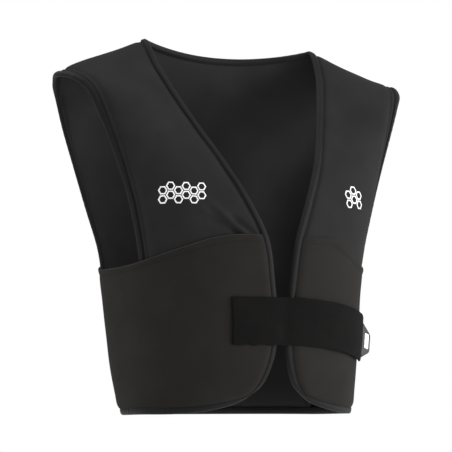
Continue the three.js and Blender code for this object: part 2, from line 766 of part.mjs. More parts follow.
function strapFace(stations, halfWidth, extraLift) {
  return shareRange(halfWidth, -halfWidth, 3).map((height) => stations.map((station) => {
    const v = atHeight(front, station.s, station.z + height);
    return skin(front, station.s, v, station.lift + extraLift, station.side);
  }));
}

function closureStrap() {
  const stations = strapStations();
  const halfWidth = STRAP_WIDTH / 2;
  const outer = strapFace(stations, halfWidth, STRAP_THICKNESS);
  return sheetBody(outer, strapFace(stations, halfWidth, 0));
}

function hookPatch() {
  const level = strapLevel();
  const shares = shareRange(atWidth(level, HOOK_PATCH_START), atWidth(level, HOOK_PATCH_END), 5);
  const stations = shares.map((s) => ({ ...strapStation(s, 1), lift: STRAP_LOW_LIFT }));
  const halfWidth = STRAP_WIDTH / 2 - HOOK_PATCH_INSET;
  const outer = strapFace(stations, halfWidth, HOOK_PATCH_THICKNESS);
  return sheetBody(outer, strapFace(stations, halfWidth, 0));
}

// The tab narrows from its root to its rounded tip.
function pullTab() {
  const root = TAB_ROOT_WIDTH / 2;
  const tip = TAB_TIP_WIDTH / 2;
  const roundedFrom = TAB_LENGTH - TAB_CORNER;
  const halfThere = mix(root, tip, roundedFrom / TAB_LENGTH);
  const outline = new THREE.Shape();
  outline.moveTo(0, -root);
  outline.lineTo(roundedFrom, -halfThere);
  outline.quadraticCurveTo(TAB_LENGTH, -tip, TAB_LENGTH, -tip + TAB_CORNER);
  outline.lineTo(TAB_LENGTH, tip - TAB_CORNER);
  outline.quadraticCurveTo(TAB_LENGTH, tip, roundedFrom, halfThere);
  outline.lineTo(0, root);
  const settings = { depth: TAB_THICKNESS, bevelEnabled: false, curveSegments: 3 };
  const geometry = new THREE.ExtrudeGeometry(outline, settings);
  geometry.translate(0, 0, -TAB_THICKNESS / 2);
  return geometry;
}

// The tab goes on from the strap's free end, standing off the band by an angle.
function placeTab(mesh) {
  const stations = strapStations().slice(-2);
  const middle = STRAP_THICKNESS / 2;
  const [[nearTop, endTop], , , [nearLow, endLow]] = strapFace(stations, STRAP_WIDTH / 2, middle);
  const end = endTop.clone().add(endLow).divideScalar(2);
  const near = nearTop.clone().add(nearLow).divideScalar(2);
  const across = endTop.clone().sub(endLow).normalize();
  const forward = end.clone().sub(near);
  forward.addScaledVector(across, -forward.dot(across)).normalize();
  const angle = THREE.MathUtils.degToRad(TAB_STAND_OFF);
  const turned = forward.clone().applyAxisAngle(across, -angle);
  const facing = turned.clone().cross(across);
  mesh.matrixAutoUpdate = false;
  mesh.matrix.makeBasis(turned, across, facing);
  mesh.matrix.setPosition(end.addScaledVector(forward, CLEARANCE + TAB_THICKNESS / 2 * Math.sin(angle)));
  return mesh;
}

function main() {
  const vest = new THREE.Group();
  vest.add(named('front_panel_right', frontPanel(-1), panelFabric));
  vest.add(named('front_panel_left', frontPanel(1), panelFabric));
  vest.add(named('back_panel', backPanel(), panelFabric));
  vest.add(named('edge_binding', edgeBinding(), bindingTape));
  vest.add(named('armhole_binding_right', armholeBinding(-1), bindingTape));
  vest.add(named('armhole_binding_left', armholeBinding(1), bindingTape));
  vest.add(named('back_hem_binding', backHemBinding(), bindingTape));
  vest.add(named('side_band_right', sideBand(RIGHT_BAND_TOP, -1), bandFabric));
  vest.add(named('side_band_left', sideBand(LEFT_BAND_TOP, 1), bandFabric));
  vest.add(named('closure_strap', closureStrap(), strapWebbing));
  vest.add(named('hook_patch', hookPatch(), hookField));
  vest.add(placeTab(named('pull_tab', pullTab(), tabRubber)));
  return vest;
}

export default main();
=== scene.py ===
"""The dressed model of a padded rib protector vest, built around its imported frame.

Sizes are in millimetres up to the last step, where each mesh is made in metres in the frame's axes:
+Z up, -Y towards the front of the wearer, +X to the wearer's left, origin between the neck points.
"""
import math

import bpy
import numpy as np
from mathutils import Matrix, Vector
from mathutils.bvhtree import BVHTree


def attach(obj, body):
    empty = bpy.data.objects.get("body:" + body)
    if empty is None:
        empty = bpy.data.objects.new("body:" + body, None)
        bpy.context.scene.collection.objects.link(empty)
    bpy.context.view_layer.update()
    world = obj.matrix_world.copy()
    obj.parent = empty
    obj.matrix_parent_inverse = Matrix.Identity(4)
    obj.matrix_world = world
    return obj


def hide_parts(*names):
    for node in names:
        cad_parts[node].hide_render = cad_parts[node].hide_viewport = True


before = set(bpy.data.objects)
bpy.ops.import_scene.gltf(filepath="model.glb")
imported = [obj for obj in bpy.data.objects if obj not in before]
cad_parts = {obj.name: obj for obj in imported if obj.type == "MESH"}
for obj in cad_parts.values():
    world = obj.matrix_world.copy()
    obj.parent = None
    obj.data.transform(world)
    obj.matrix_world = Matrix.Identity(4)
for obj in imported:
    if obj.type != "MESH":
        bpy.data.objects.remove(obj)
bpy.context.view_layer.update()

RIGHT, LEFT = -1, 1
SIDE_WORDS = {RIGHT: "right", LEFT: "left"}
TINY = 1e-12
FAR = 1e3

# The vest's main sizes, as in its solids.
HEIGHT = 445
NECK_HALF = 114
NECK_SET_BACK = 23
NECK_DIP = 14
NECK_BEHIND_MIDDLE = 7
RIB_HALF = 150
SHOULDER_OVERHANG = 82
SHOULDER_DROP = 43.5
SHOULDER_SAG = 2.2
FRONT_DEPTH = 124
BACK_DEPTH = 120
PANEL_THICKNESS = 6
RIM_THICKNESS = 3.2
BINDING_WIDTH = 6.5
BAND_LIFT = 0.6
BAND_THICKNESS = 2
BAND_BACK_WIDTH = 62
GAP_FULLNESS = 0.55
STRAP_WIDTH = 55
STRAP_THICKNESS = 2.6
STRAP_LEVEL = 337
STRAP_FALL = 22
STRAP_FALL_POWER = 1.6
STRAP_RISE = 0.83
STRAP_START = 64
STRAP_END = 138
HOOK_PATCH_START = 88
HOOK_PATCH_THICKNESS = 1.4
TAB_LENGTH = 24
TAB_ROOT_WIDTH = 44
TAB_TIP_WIDTH = 22
TAB_THICKNESS = 2.2
TAB_CORNER = 4
TAB_STAND_OFF = 20
CLEARANCE = 0.3
ARMHOLE_END = 7
MIDDLE_Y = -NECK_BEHIND_MIDDLE
HANDLE = 0.38
NECK_SHARE = 0.48
CORNER_START = 0.9
CORNER_POWER = 3
SMALL_STEP = 1e-3
HALVINGS = 30
RECESS = (PANEL_THICKNESS - RIM_THICKNESS) / 2
RIM_MIDDLE = -RECESS - RIM_THICKNESS / 2


def table_of(names, *rows):
    """The columns of a table by name, each an upright array."""
    return dict(zip(names.split(), np.array(rows, float).T[:, :, None]))


# The sections of the panels from the shoulder down: shares of the named sizes, and turns in degrees.
FRONT = table_of(
    "down x y turn out_down rib flare out_y out_turn",
    (0.072, 0.96, 0.153, 2, 0.024, 1, 0.9, 0.21, 12),
    (0.14, 0.873, 0.306, 6, 0.064, 1, 0.765, 0.315, 28),
    (0.23, 0.73, 0.508, 8, 0.144, 1, 0.6, 0.371, 40),
    (0.343, 0.532, 0.766, 8, 0.27, 1, 0.37, 0.411, 52),
    (0.456, 0.317, 0.927, 6, 0.395, 1, 0.18, 0.427, 60),
    (0.546, 0.172, 0.992, 2, 0.508, 1, 0.05, 0.415, 65),
    (0.659, 0.101, 0.992, 0, 0.626, 0.98, 0, 0.395, 67),
    (0.772, 0.058, 0.976, 0, 0.747, 0.965, 0, 0.387, 67),
    (0.862, 0.093, 0.944, 0, 0.857, 0.945, 0, 0.379, 67),
    (0.923, 0.188, 0.895, 0, 0.932, 0.93, 0, 0.371, 67),
    (0.956, 0.289, 0.839, 0, 0.996, 0.92, 0, 0.363, 67),
)
BACK = table_of(
    "down y mid_down out_down rib flare out_y out_turn",
    (0.113, 0.45, 0.095, 0.029, 1, 0.905, 0.245, 12),
    (0.208, 0.7, 0.194, 0.079, 1, 0.73, 0.43, 28),
    (0.298, 0.867, 0.284, 0.164, 1, 0.555, 0.52, 40),
    (0.388, 0.95, 0.379, 0.27, 1, 0.35, 0.565, 50),
    (0.479, 0.992, 0.475, 0.395, 1, 0.16, 0.545, 58),
    (0.569, 1, 0.565, 0.508, 1, 0.02, 0.475, 65),
    (0.682, 0.975, 0.678, 0.634, 0.98, 0, 0.42, 67),
    (0.783, 0.917, 0.781, 0.757, 0.96, 0, 0.37, 67),
    (0.885, 0.842, 0.885, 0.87, 0.935, 0, 0.33, 67),
    (1, 0.733, 1, 1, 0.88, 0, 0.267, 67),
)
# The upper edge of each band, as how far round it is and how far down as a share of the height. Round is
# 0 to 1 on the front, 1 to 2 over the side gap and 2 to 3 on the back.
BAND_TOPS = {
    RIGHT: ((0, 0.534), (0.24, 0.535), (0.4, 0.543), (0.64, 0.567), (0.9, 0.594), (1, 0.604), (1.5, 0.616),
            (2, 0.613), (3, 0.58)),
    LEFT: ((0, 0.532), (0.08, 0.535), (0.3, 0.538), (0.42, 0.555), (0.62, 0.588), (0.9, 0.606), (1.5, 0.616),
           (2, 0.613), (3, 0.58)),
}


# Curves


def mix(a, b, t):
    return a + (b - a) * t


def unit(vectors):
    return vectors / np.maximum(np.linalg.norm(vectors, axis=-1, keepdims=True), TINY)


def smooth(t):
    t = np.clip(t, 0, 1)
    return t * t * (3 - 2 * t)


def spread(low, high, count):
    """Values between two arrays of ends, both ends left out."""
    share = np.linspace(0, 1, count + 2)[1:-1]
    return low[..., None] + (high - low)[..., None] * share


def bezier(points, t):
    """A curve from the first to the last of four points, steered by the two between them."""
    a, b, c, d = points
    return (1 - t) ** 3 * a + 3 * (1 - t) ** 2 * t * b + 3 * (1 - t) * t ** 2 * c + t ** 3 * d


def tangents(values, gaps):
    """The slopes of a smooth curve at each of its values."""
    slope = np.diff(values, axis=0) / gaps
    inner = (slope[:-1] * gaps[1:] + slope[1:] * gaps[:-1]) / (gaps[1:] + gaps[:-1])
    return np.concatenate([slope[:1], inner, slope[-1:]])


def hermite(t, gap, start, leave, end, arrive):
    """A smooth curve between two values a gap apart, given the slopes at both."""
    return ((2 * t ** 3 - 3 * t ** 2 + 1) * start + (t ** 3 - 2 * t ** 2 + t) * gap * leave
            + (-2 * t ** 3 + 3 * t ** 2) * end + (t ** 3 - t ** 2) * gap * arrive)


def table_value(table, place):
    """A smooth value at each place, from a table of (place, value) rows. Flat beyond its ends."""
    xs, ys = (np.array(column, float) for column in zip(*table))
    gaps = np.diff(xs)
    slope = tangents(ys, gaps)
    place = np.clip(place, xs[0], xs[-1])
    k = np.clip(np.searchsorted(xs, place, side="right") - 1, 0, len(gaps) - 1)
    return hermite((place - xs[k]) / gaps[k], gaps[k], ys[k], slope[k], ys[k + 1], slope[k + 1])


def halved(low, high, is_short):
    """The place between low and high up to which a test holds."""
    for _ in range(HALVINGS):
        middle = (low + high) / 2
        short = is_short(middle)
        low, high = np.where(short, middle, low), np.where(short, high, middle)
    return (low + high) / 2


def running_length(points, axis):
    """Running length along one axis of a grid of points."""
    steps = np.linalg.norm(np.diff(points, axis=axis), axis=-1)
    start = np.zeros_like(np.take(steps, [0], axis=axis))
    return np.concatenate([start, np.cumsum(steps, axis=axis)], axis=axis)


def along_line(data, run, where):
    return np.column_stack([np.interp(where, run, data[:, k]) for k in range(3)])


# Lofts


def heading(degrees):
    return np.exp(1j * np.radians(degrees))


def section_points(table, inner_x, depth, turns, z, s):
    """Points on all the sections at shares of their width. In plan, x and y are one complex number."""
    inner = inner_x + 1j * (MIDDLE_Y + depth * table["y"])
    outer_x = RIB_HALF * table["rib"] + SHOULDER_OVERHANG * table["flare"]
    outer = outer_x + 1j * (MIDDLE_Y + depth * table["out_y"])
    reach = HANDLE * np.abs(outer - inner)
    first, last = inner + reach * heading(turns[0]), outer - reach * heading(turns[1])
    plan = bezier((inner, first, last, outer), s)
    return np.stack([plan.real, plan.imag, z], axis=-1)


def outer_z(table):
    return -SHOULDER_DROP - (HEIGHT - SHOULDER_DROP) * table["out_down"]


def front_sections(s):
    power = np.where(FRONT["down"] > CORNER_START, CORNER_POWER, 1)
    z = mix(outer_z(FRONT), -HEIGHT * FRONT["down"], (1 - s) ** power)
    turns = (FRONT["turn"], FRONT["out_turn"])
    return section_points(FRONT, NECK_HALF * FRONT["x"], -FRONT_DEPTH, turns, z, s)


def back_sections(s):
    m = NECK_SHARE
    z = (outer_z(BACK) * s * (s - m) / (1 - m) - HEIGHT * BACK["down"] * (s - m) * (s - 1) / m
         - HEIGHT * BACK["mid_down"] * s * (s - 1) / (m * (m - 1)))
    return section_points(BACK, 0, BACK_DEPTH, (0, -BACK["out_turn"]), z, s)


def shoulder_line(s):
    """The shoulder seam from the neck point to the tip. It sags most at a third of its way."""
    tip = RIB_HALF + SHOULDER_OVERHANG
    sag = SHOULDER_SAG * s * (1 - s) ** 2 * 27 / 4
    return np.column_stack([mix(NECK_HALF, tip, s), MIDDLE_Y * s, -SHOULDER_DROP * s - sag])


def beyond_neck(s):
    """The share of the shoulder seam, for a share of the half back."""
    return (s - NECK_SHARE) / (1 - NECK_SHARE)


def back_top(s):
    across = s / NECK_SHARE
    bow = 1 - across ** 2
    neck = np.column_stack([NECK_HALF * across, NECK_SET_BACK * bow, -NECK_DIP * bow])
    return np.where((s > NECK_SHARE)[:, None], shoulder_line(beyond_neck(s)), neck)


def front_rows(s):
    beyond = back_sections(mix(NECK_SHARE, 1, s))[0]
    return np.concatenate([[beyond, shoulder_line(s)], front_sections(s)])


def back_rows(s):
    top, rows = back_top(s), back_sections(s)
    straight_on = 2 * top - rows[0]
    over = front_sections(np.maximum(0, beyond_neck(s)))[0]
    share = np.minimum(1, (s / NECK_SHARE) ** 3)[:, None]
    return np.concatenate([[mix(straight_on, over, share), top], rows])


# The corner between a front edge and the hem is rounded off over this length of rim.
CORNER_LENGTH = 26
CORNER_DEPTH = 3.6


class Loft:
    """A smooth surface: s from 0 at the middle to 1 at the outer edge, v from 0 at the top to last."""

    def __init__(self, rows, facing, rounded=False):
        self.rows, self.facing = rows, facing
        self.corner = None
        self.gaps = np.linalg.norm(np.diff(rows(np.array([0.5]))[:, 0], axis=0), axis=1)
        self.last = len(self.gaps) - 1
        if rounded:
            last = self.last
            corner, beside, above = self.point([0, 0.1, 0], [last, last, last - 0.5])
            self.corner, self.inwards = corner, unit(unit(beside - corner) + unit(above - corner))

    def eased(self, points):
        """Points drawn in round the corner of a front panel."""
        if self.corner is None:
            return points
        away = np.linalg.norm(points - self.corner, axis=-1, keepdims=True)
        return points + self.inwards * CORNER_DEPTH * np.maximum(0, 1 - away / CORNER_LENGTH) ** 2

    def point(self, s, v):
        s, v = np.broadcast_arrays(np.asarray(s, float), np.asarray(v, float))
        rows = self.rows(s.ravel())
        slope = tangents(rows, self.gaps[:, None, None])
        k = np.clip(np.floor(v.ravel() + 1).astype(int), 0, len(rows) - 2)
        here, there = (k, np.arange(s.size)), (k + 1, np.arange(s.size))
        t = (v.ravel() + 1 - k)[:, None]
        out = hermite(t, self.gaps[k][:, None], rows[here], slope[here], rows[there], slope[there])
        return self.eased(out.reshape(s.shape + (3,)))

    def normal(self, s, v):
        across = self.point(np.minimum(s + SMALL_STEP, 1), v) - self.point(np.maximum(s - SMALL_STEP, 0), v)
        along = self.point(s, v + SMALL_STEP) - self.point(s, v - SMALL_STEP)
        return unit(np.cross(across, along)) * self.facing

    def edge_share(self, v, distance):
        """The share of a section that lies within a distance of its end."""
        chord = np.linalg.norm(self.point(0, v) - self.point(1, v), axis=-1)
        return distance / (3 * HANDLE * chord)

    def hem_row(self, s, distance):
        """The row value a distance above the hem."""
        gap = np.linalg.norm(self.point(s, self.last) - self.point(s, self.last - 1), axis=-1)
        return self.last - distance / gap

    def at_height(self, s, z):
        """The row value at which the loft comes down to a height."""
        s, z = np.broadcast_arrays(np.asarray(s, float), np.asarray(z, float))
        return halved(0 * s, 0 * s + self.last, lambda v: self.point(s, v)[..., 2] > z)


front = Loft(front_rows, -1, rounded=True)
back = Loft(back_rows, 1)

# The vest hangs a little unevenly: the right shoulder's tip droops and the left one stands up.
TIP_RISE = {RIGHT: -5.0, LEFT: 3.6}
TIP_REACH = 42
TIP_SOFTENING = 6
TIP = front.point(1, 0)


def tip_rise(points, side):
    away = np.linalg.norm(points - TIP, axis=-1)
    away = np.sqrt(away ** 2 + TIP_SOFTENING ** 2) - TIP_SOFTENING
    return TIP_RISE[side] * np.maximum(0, 1 - away / TIP_REACH) ** 2


def skin(loft, s, v, lift, side):
    """Points lifted off a loft, on the wearer's left or mirrored to the right."""
    points = loft.point(s, v) + loft.normal(s, v) * np.asarray(lift, float)[..., None]
    points[..., 2] += tip_rise(points, side)
    return points * np.array([side, 1, 1])


# Soft irregularities


def soft_noise(points, size, seed, count=9):
    """Smooth noise of about plus or minus one, with lumps of about the given size."""
    rng = np.random.default_rng(seed)
    directions = unit(rng.normal(size=(count, 3)))
    rates = 2 * math.pi / (size * rng.uniform(0.8, 1.9, count) * 2)
    phases = rng.uniform(0, 2 * math.pi, count)
    waves = np.sin(points @ directions.T * rates + phases)
    return waves.sum(axis=-1) / math.sqrt(count / 2) * 0.7


def swells(points, waves):
    """The sum of several noises, each given as (depth, size, seed)."""
    return sum(depth * soft_noise(points, size, seed) for depth, size, seed in waves)


def ripple(run, seed, low=7.0, high=15.0, count=6):
    """Irregular puckers along a seam, given running lengths along it. They come and go along it."""
    rng = np.random.default_rng(seed)
    lengths = rng.uniform(low, high, count)
    phases = rng.uniform(0, 2 * math.pi, count)
    swell = 0.6 + 0.4 * np.sin(run / 37.0 + phases[0]) * np.sin(run / 61.0 + phases[1])
    return sum(np.sin(2 * math.pi * run / l + p) for l, p in zip(lengths, phases)) / count * 1.8 * swell


# Mesh making


def make_object(name, points, faces, uv=None):
    """A smooth-shaded object from points in millimetres. uv is one pair per point, in metres."""
    mesh = bpy.data.meshes.new(name)
    mesh.from_pydata((np.asarray(points) / 1000).tolist(), [], faces)
    if uv is not None:
        layer = mesh.uv_layers.new(name="cloth")
        index = np.empty(len(mesh.loops), int)
        mesh.loops.foreach_get("vertex_index", index)
        layer.data.foreach_set("uv", np.asarray(uv, np.float32)[index].ravel())
    mesh.shade_smooth()
    mesh.update()
    made = bpy.data.objects.new(name, mesh)
    bpy.context.scene.collection.objects.link(made)
    return made


def facing_out(points, faces):
    """The faces of a closed body, all turned over if they face inwards."""
    corners = np.array([(face[0], b, c) for face in faces for b, c in zip(face[1:], face[2:])])
    a, b, c = (points[column] for column in corners.T)
    return faces if (a * np.cross(b, c)).sum() > 0 else [face[::-1] for face in faces]


def tube_faces(count, size, closed=False):
    """Faces through rings of equal size: a closed round of rings, or a tube with flat ends."""
    faces = []
    for k in range(count if closed else count - 1):
        here, there = k * size, (k + 1) % count * size
        for j in range(size):
            n = (j + 1) % size
            faces.append([here + j, here + n, there + n, there + j])
    if not closed:
        faces += [list(range(size))[::-1], list(range((count - 1) * size, count * size))]
    return faces


def repeated(faces, size, count):
    """The faces of one small body, for a row of bodies of that many points."""
    return [[k * size + corner for corner in face] for k in range(count) for face in faces]


def grid_uv(grid):
    """Cloth coordinates of a grid: running lengths across and down, in metres."""
    u, v = running_length(grid, 1), running_length(grid, 0)
    u = u - u[:, [u.shape[1] // 2]]
    return np.stack([u, v], axis=-1).reshape(-1, 2) / 1000


def sheet_object(name, outer, inner):
    """A closed sheet between two grids. It keeps the range of its inner faces, for a lining."""
    rows, columns = outer.shape[:2]
    under = rows * columns
    numbers = np.arange(under).reshape(rows, columns)
    corner = numbers[:-1, :-1].ravel()
    cells = np.column_stack([corner, corner + 1, corner + columns + 1, corner + columns])
    ring = np.concatenate([numbers[0], numbers[1:, -1], numbers[-1, -2::-1], numbers[-2:0:-1, 0]])
    ahead = np.roll(ring, -1)
    walls = np.column_stack([ahead, ring, ring + under, ahead + under])
    faces = np.concatenate([cells, cells[:, ::-1] + under, walls]).tolist()
    points = np.concatenate([outer.reshape(-1, 3), inner.reshape(-1, 3)])
    uv = np.concatenate([grid_uv(outer), grid_uv(inner)])
    made = make_object(name, points, facing_out(points, faces), uv)
    made["inner_faces"] = [len(cells), 2 * len(cells)]
    return made


def swept_object(name, stations):
    """A body through stations (count, section points, 3), with flat ends."""
    points = stations.reshape(-1, 3)
    girth = running_length(stations, 1)
    run = running_length(stations, 0)[:, [0]] + 0 * girth
    uv = np.stack([girth, run], axis=-1).reshape(-1, 2) / 1000
    return make_object(name, points, facing_out(points, tube_faces(*stations.shape[:2])), uv)


def grid_normals(grid):
    """The directions in which a grid faces away from the vest's upright middle line."""
    normals = unit(np.cross(np.gradient(grid, axis=1), np.gradient(grid, axis=0)))
    return normals * np.sign((normals * grid * [1, 1, 0]).sum(-1, keepdims=True))


def tree_of(thing):
    """A search tree over an object's faces, for setting other pieces down on it."""
    mesh = thing.data
    places = [vertex.co.copy() for vertex in mesh.vertices]
    return BVHTree.FromPolygons(places, [tuple(face.vertices) for face in mesh.polygons])


def set_down(points, direction, tree, lift, reach=12.0):
    """Points moved against a direction until they lie a lift above the tree's surface."""
    away = Vector(direction)
    placed = []
    for point in points:
        start = Vector(point) / 1000 + away * reach / 1000
        hit = tree.ray_cast(start, -away, 3 * reach / 1000)[0]
        base = np.array(hit) * 1000 if hit is not None else np.array(point)
        placed.append(base + np.array(away) * lift)
    return np.array(placed)


# Padded panels

RIM_STEPS = np.array([0, 2, 4, 5.6, 6.6, 7.4, 8.2, 9.2, 10.4, 11.6, 12.8, 14.2, 16, 18.5, 22])
SEAM_STEPS = np.array([0.15, 0.8, 1.6, 2.6, 4, 6, 8.5, 12])
BACK_TOP_STEPS = np.array([SEAM_STEPS[0], *RIM_STEPS[1:], 26])
FRONT_COLUMNS, FRONT_ROWS = 84, 160
BACK_COLUMNS, BACK_ROWS = 34, 118
SETTLINGS = 4
# Noises of the faces as (depth, size, seed), and the puckers beside the rims.
PAD_SWELLS = ((0.45, 55, 3), (0.16, 22, 4))
LINING_SWELLS = ((0.5, 60, 8), (0.15, 24, 9))
PUCKER_DEPTH = 0.2
PUCKER_SEED = 40
PUCKER_SHOW_THROUGH = 0.2
UNDER_BAND_DEPTH = 0.3
# Distances from a rim at which the puckers start and are full, and the one past and over which they fade.
PUCKER_START, PUCKER_FULL, PUCKER_FADE = 7, 10, 9
FINE = np.linspace(0, 1, 260)
# How far the faces of a pad depart from the plain sheet, by distance from a bound rim or from a seam.
EDGE_OUTER = ((0, -1.4), (6, -1.4), (7.3, -2), (8.6, -1.5), (10.5, -0.45), (13.5, 0.15), (19, 0.4),
              (30, 0.25), (50, 0))
ARMHOLE_OUTER = ((0, -1.4), (6, -1.4), (7.3, -2), (8.8, -0.9), (10.2, -0.6), (11.6, -0.9), (12.8, -1.7),
                 (14.2, -1.1), (16.5, -0.1), (20, 0.3), (32, 0.2), (50, 0))
EDGE_INNER = ((0, 1.4), (6, 1.4), (7.3, 1.8), (8.6, 1.3), (10.5, 0.5), (14, 0), (50, 0))
SEAM_DEPTH = ((0, -1.5), (1, -1.1), (2.4, -0.2), (4, 0.1), (7, 0), (50, 0))
# Folds above a band, as x and z of start and end, width and depth.
FOLDS = {
    RIGHT: (((-87, -220), (-56, -238.5), 3.0, -3.6), ((-61.4, -220.5), (-32.7, -238), 3.0, -3.2),
            ((-98.7, -209), (-65.3, -235), 3.2, 1.6), ((-84, -206), (-48, -237), 3.2, 2.4)),
    LEFT: (),
}


def pad_columns(loft, v, count):
    """Shares across a panel, closer near its rims. The back starts at its middle, with one at the neck."""
    rim = loft.edge_share(v, 1)[..., None] * RIM_STEPS
    inner = rim if loft is front else np.linspace(0, NECK_SHARE, count + 2) + 0 * v[..., None]
    even = spread(inner[..., -1], 1 - rim[..., -1], count)
    return np.concatenate([inner, even, 1 - rim[..., ::-1]], axis=-1)


def pad_grid(loft, top_steps, columns, rows):
    """A grid of s and v. Its columns depend on v and its rows on s, so they settle in a few rounds."""
    def rows_of(s):
        hem = np.array([loft.hem_row(s[-1], step) for step in RIM_STEPS[::-1]])
        top = np.tile(top_steps[:, None] / loft.gaps[1], (1, s.shape[1]))
        return np.concatenate([top, spread(top[-1], hem[0], rows).T, hem])

    width = pad_columns(loft, np.zeros(1), columns).shape[-1]
    s = np.tile(np.linspace(0, 1, width), (len(top_steps) + rows + len(RIM_STEPS), 1))
    for _ in range(SETTLINGS):
        s = np.einsum("ijj->ij", pad_columns(loft, rows_of(s), columns))
    return s, rows_of(s)


def nearest(points, line, stretch=2000):
    """Distance to the nearest point of a line, and that point's running length, a stretch at a time."""
    flat = points.reshape(-1, 3)
    run = running_length(line, 0)
    places = np.arange(0, run[-1], 1.0)
    fine = along_line(line, run, places)
    distance, at = np.empty(len(flat)), np.empty(len(flat))
    for start in range(0, len(flat), stretch):
        part = slice(start, start + stretch)
        gaps = np.linalg.norm(flat[part, None] - fine[None], axis=-1)
        distance[part], at[part] = gaps.min(axis=1), places[gaps.argmin(axis=1)]
    return distance.reshape(points.shape[:-1]), at.reshape(points.shape[:-1])


def combined(profiles):
    """One lift from several: the deepest groove wins, and a swelling shows only outside the grooves."""
    deepest = np.minimum.reduce([np.minimum(p, 0) for p in profiles])
    highest = np.maximum.reduce([np.maximum(p, 0) for p in profiles])
    return deepest + highest * smooth((deepest + 0.5) / 0.5)


def band_top_height(side, along):
    return -HEIGHT * table_value(BAND_TOPS[side], along)


def creases(plain, folds):
    """The lift of soft folds, which narrow along their way and fade at both ends."""
    depth = np.zeros(plain.shape[:-1])
    for start, end, width, deep in folds:
        way = np.array(end) - start
        from_start = plain[..., [0, 2]] - start
        share = (from_start @ way) / (way @ way)
        off = (from_start @ np.array([-way[1], way[0]])) / np.linalg.norm(way)
        width_here = width * (1.5 - 0.8 * np.clip(share, 0, 1))
        fade = smooth((share + 0.35) / 0.6) * smooth((1.12 - share) / 0.2)
        depth += deep * fade * np.exp(-(off / width_here) ** 2)
    return depth


def pad_bounds(loft, side, first, seam_start):
    """The bound rims of a panel with the profiles beside them, and the line of its shoulder seam."""
    places = (first, (1, FINE * loft.last), (FINE, loft.last), (mix(seam_start, 1, FINE), 0))
    edge, arm, hem, seam = (skin(loft, *place, 0, side) for place in places)
    return [(edge, EDGE_OUTER), (arm, ARMHOLE_OUTER), (hem, EDGE_OUTER)], seam


def pad_faces(loft, grid, side, bounds_and_seam, band_top, folds=()):
    """The outer and the inner grid of a padded panel."""
    bounds, seam = bounds_and_seam
    plain = skin(loft, *grid, 0, side)
    seam_lift = table_value(SEAM_DEPTH, nearest(plain, seam)[0])
    outer_parts, inner_parts = [seam_lift], [seam_lift]
    rim_gap, pucker = FAR, 0
    for number, (line, profile) in enumerate(bounds):
        distance, run = nearest(plain, line)
        outer_parts.append(table_value(profile, distance))
        inner_parts.append(-table_value(EDGE_INNER, distance))
        rim_gap = np.minimum(rim_gap, distance)
        near = (np.exp(-np.maximum(distance - PUCKER_FADE, 0) / PUCKER_FADE)
                * smooth((distance - PUCKER_START) / (PUCKER_FULL - PUCKER_START)))
        pucker = pucker + PUCKER_DEPTH * near * ripple(run, PUCKER_SEED + number + 7 * side)
    free = smooth((rim_gap - 8) / 14)
    under = smooth((band_top - plain[..., 2]) / 9)
    lift = combined(outer_parts)
    lift = np.maximum(lift, 0) * (1 - under) + np.minimum(lift, 0)
    swell = swells(plain, PAD_SWELLS) + creases(plain, folds)
    lift += (pucker + swell * free) * (1 - under) - UNDER_BAND_DEPTH * under * free
    inner_swell = swells(plain, LINING_SWELLS) + PUCKER_SHOW_THROUGH * pucker
    inner_lift = inner_swell * free - PANEL_THICKNESS - combined(inner_parts)
    return skin(loft, *grid, lift, side), skin(loft, *grid, inner_lift, side)


def front_panel(side):
    grid = pad_grid(front, SEAM_STEPS, FRONT_COLUMNS, FRONT_ROWS)
    bounds = pad_bounds(front, side, (0, FINE * front.last), 0)
    return pad_faces(front, grid, side, bounds, band_top_height(side, grid[0]), FOLDS[side])


def back_panel():
    grid = pad_grid(back, BACK_TOP_STEPS, BACK_COLUMNS, BACK_ROWS)
    along = 2 + (1 - grid[0]) / band_reach()
    halves = []
    for side in SIDE_WORDS:
        bounds = pad_bounds(back, side, (FINE * NECK_SHARE, 0), NECK_SHARE)
        top = np.where(along < 3, band_top_height(side, along), -2 * HEIGHT)
        halves.append(pad_faces(back, grid, side, bounds, top))
    return [np.concatenate([right[:, :0:-1], left], axis=1) for right, left in zip(*halves)]


# Bindings

# The tape's section: how far in from the rim, and how far off the pad's middle.
TAPE_OUTER = ((6.6, 2.2), (6.3, 2.75), (5.2, 3.15), (3.4, 3.35), (1.6, 3.25), (0.2, 2.85), (-0.8, 2.1),
              (-1.4, 1.1), (-1.6, 0))
TAPE_INNER = ((6.6, 1.75), (5, 2.05), (3, 2.15), (1, 2.1), (0, 1.95), (-0.35, 1.2), (-0.4, 0))
TAPE_SECTION = (*TAPE_OUTER, *((a, -n) for a, n in TAPE_OUTER[-2::-1]), *((a, -n) for a, n in TAPE_INNER),
                *TAPE_INNER[-2::-1])
STITCH_PITCH = 3.3
STITCH_LENGTH = 2.3
STITCH_RADIUS = 0.27
# Where a tape's stitches lie in its section.
TAPE_STITCH_PLACE = (5.1, 3.2)
RIM, LIP = 0, 1
# Half the open seam between the two hem tapes, as a share of the side gap.
SIDE_SEAM = 0.003


class Rim:
    """Stations along a bound rim: places on the rim, and places on the pad that the tape's lips reach."""

    def __init__(self, loft, side, rim, lip, fan=False):
        self.loft, self.side, self.fan = loft, side, fan
        self.places = np.array(np.broadcast_arrays(*rim, *lip), float).reshape(4, -1)
        self.count = self.places.shape[1]

    def at(self, which, lift):
        return skin(self.loft, *self.places[2 * which:2 * which + 2], lift, self.side)

    def reversed(self):
        turned = self.places[:, ::-1]
        return Rim(self.loft, self.side, turned[:2], turned[2:], self.fan)


def side_rim(loft, side, s, v):
    """The rim down a panel's edge, where s is 0 at the inner edge or 1 at the outer one."""
    return Rim(loft, side, (s, v), (abs(s - loft.edge_share(v, BINDING_WIDTH)), v))


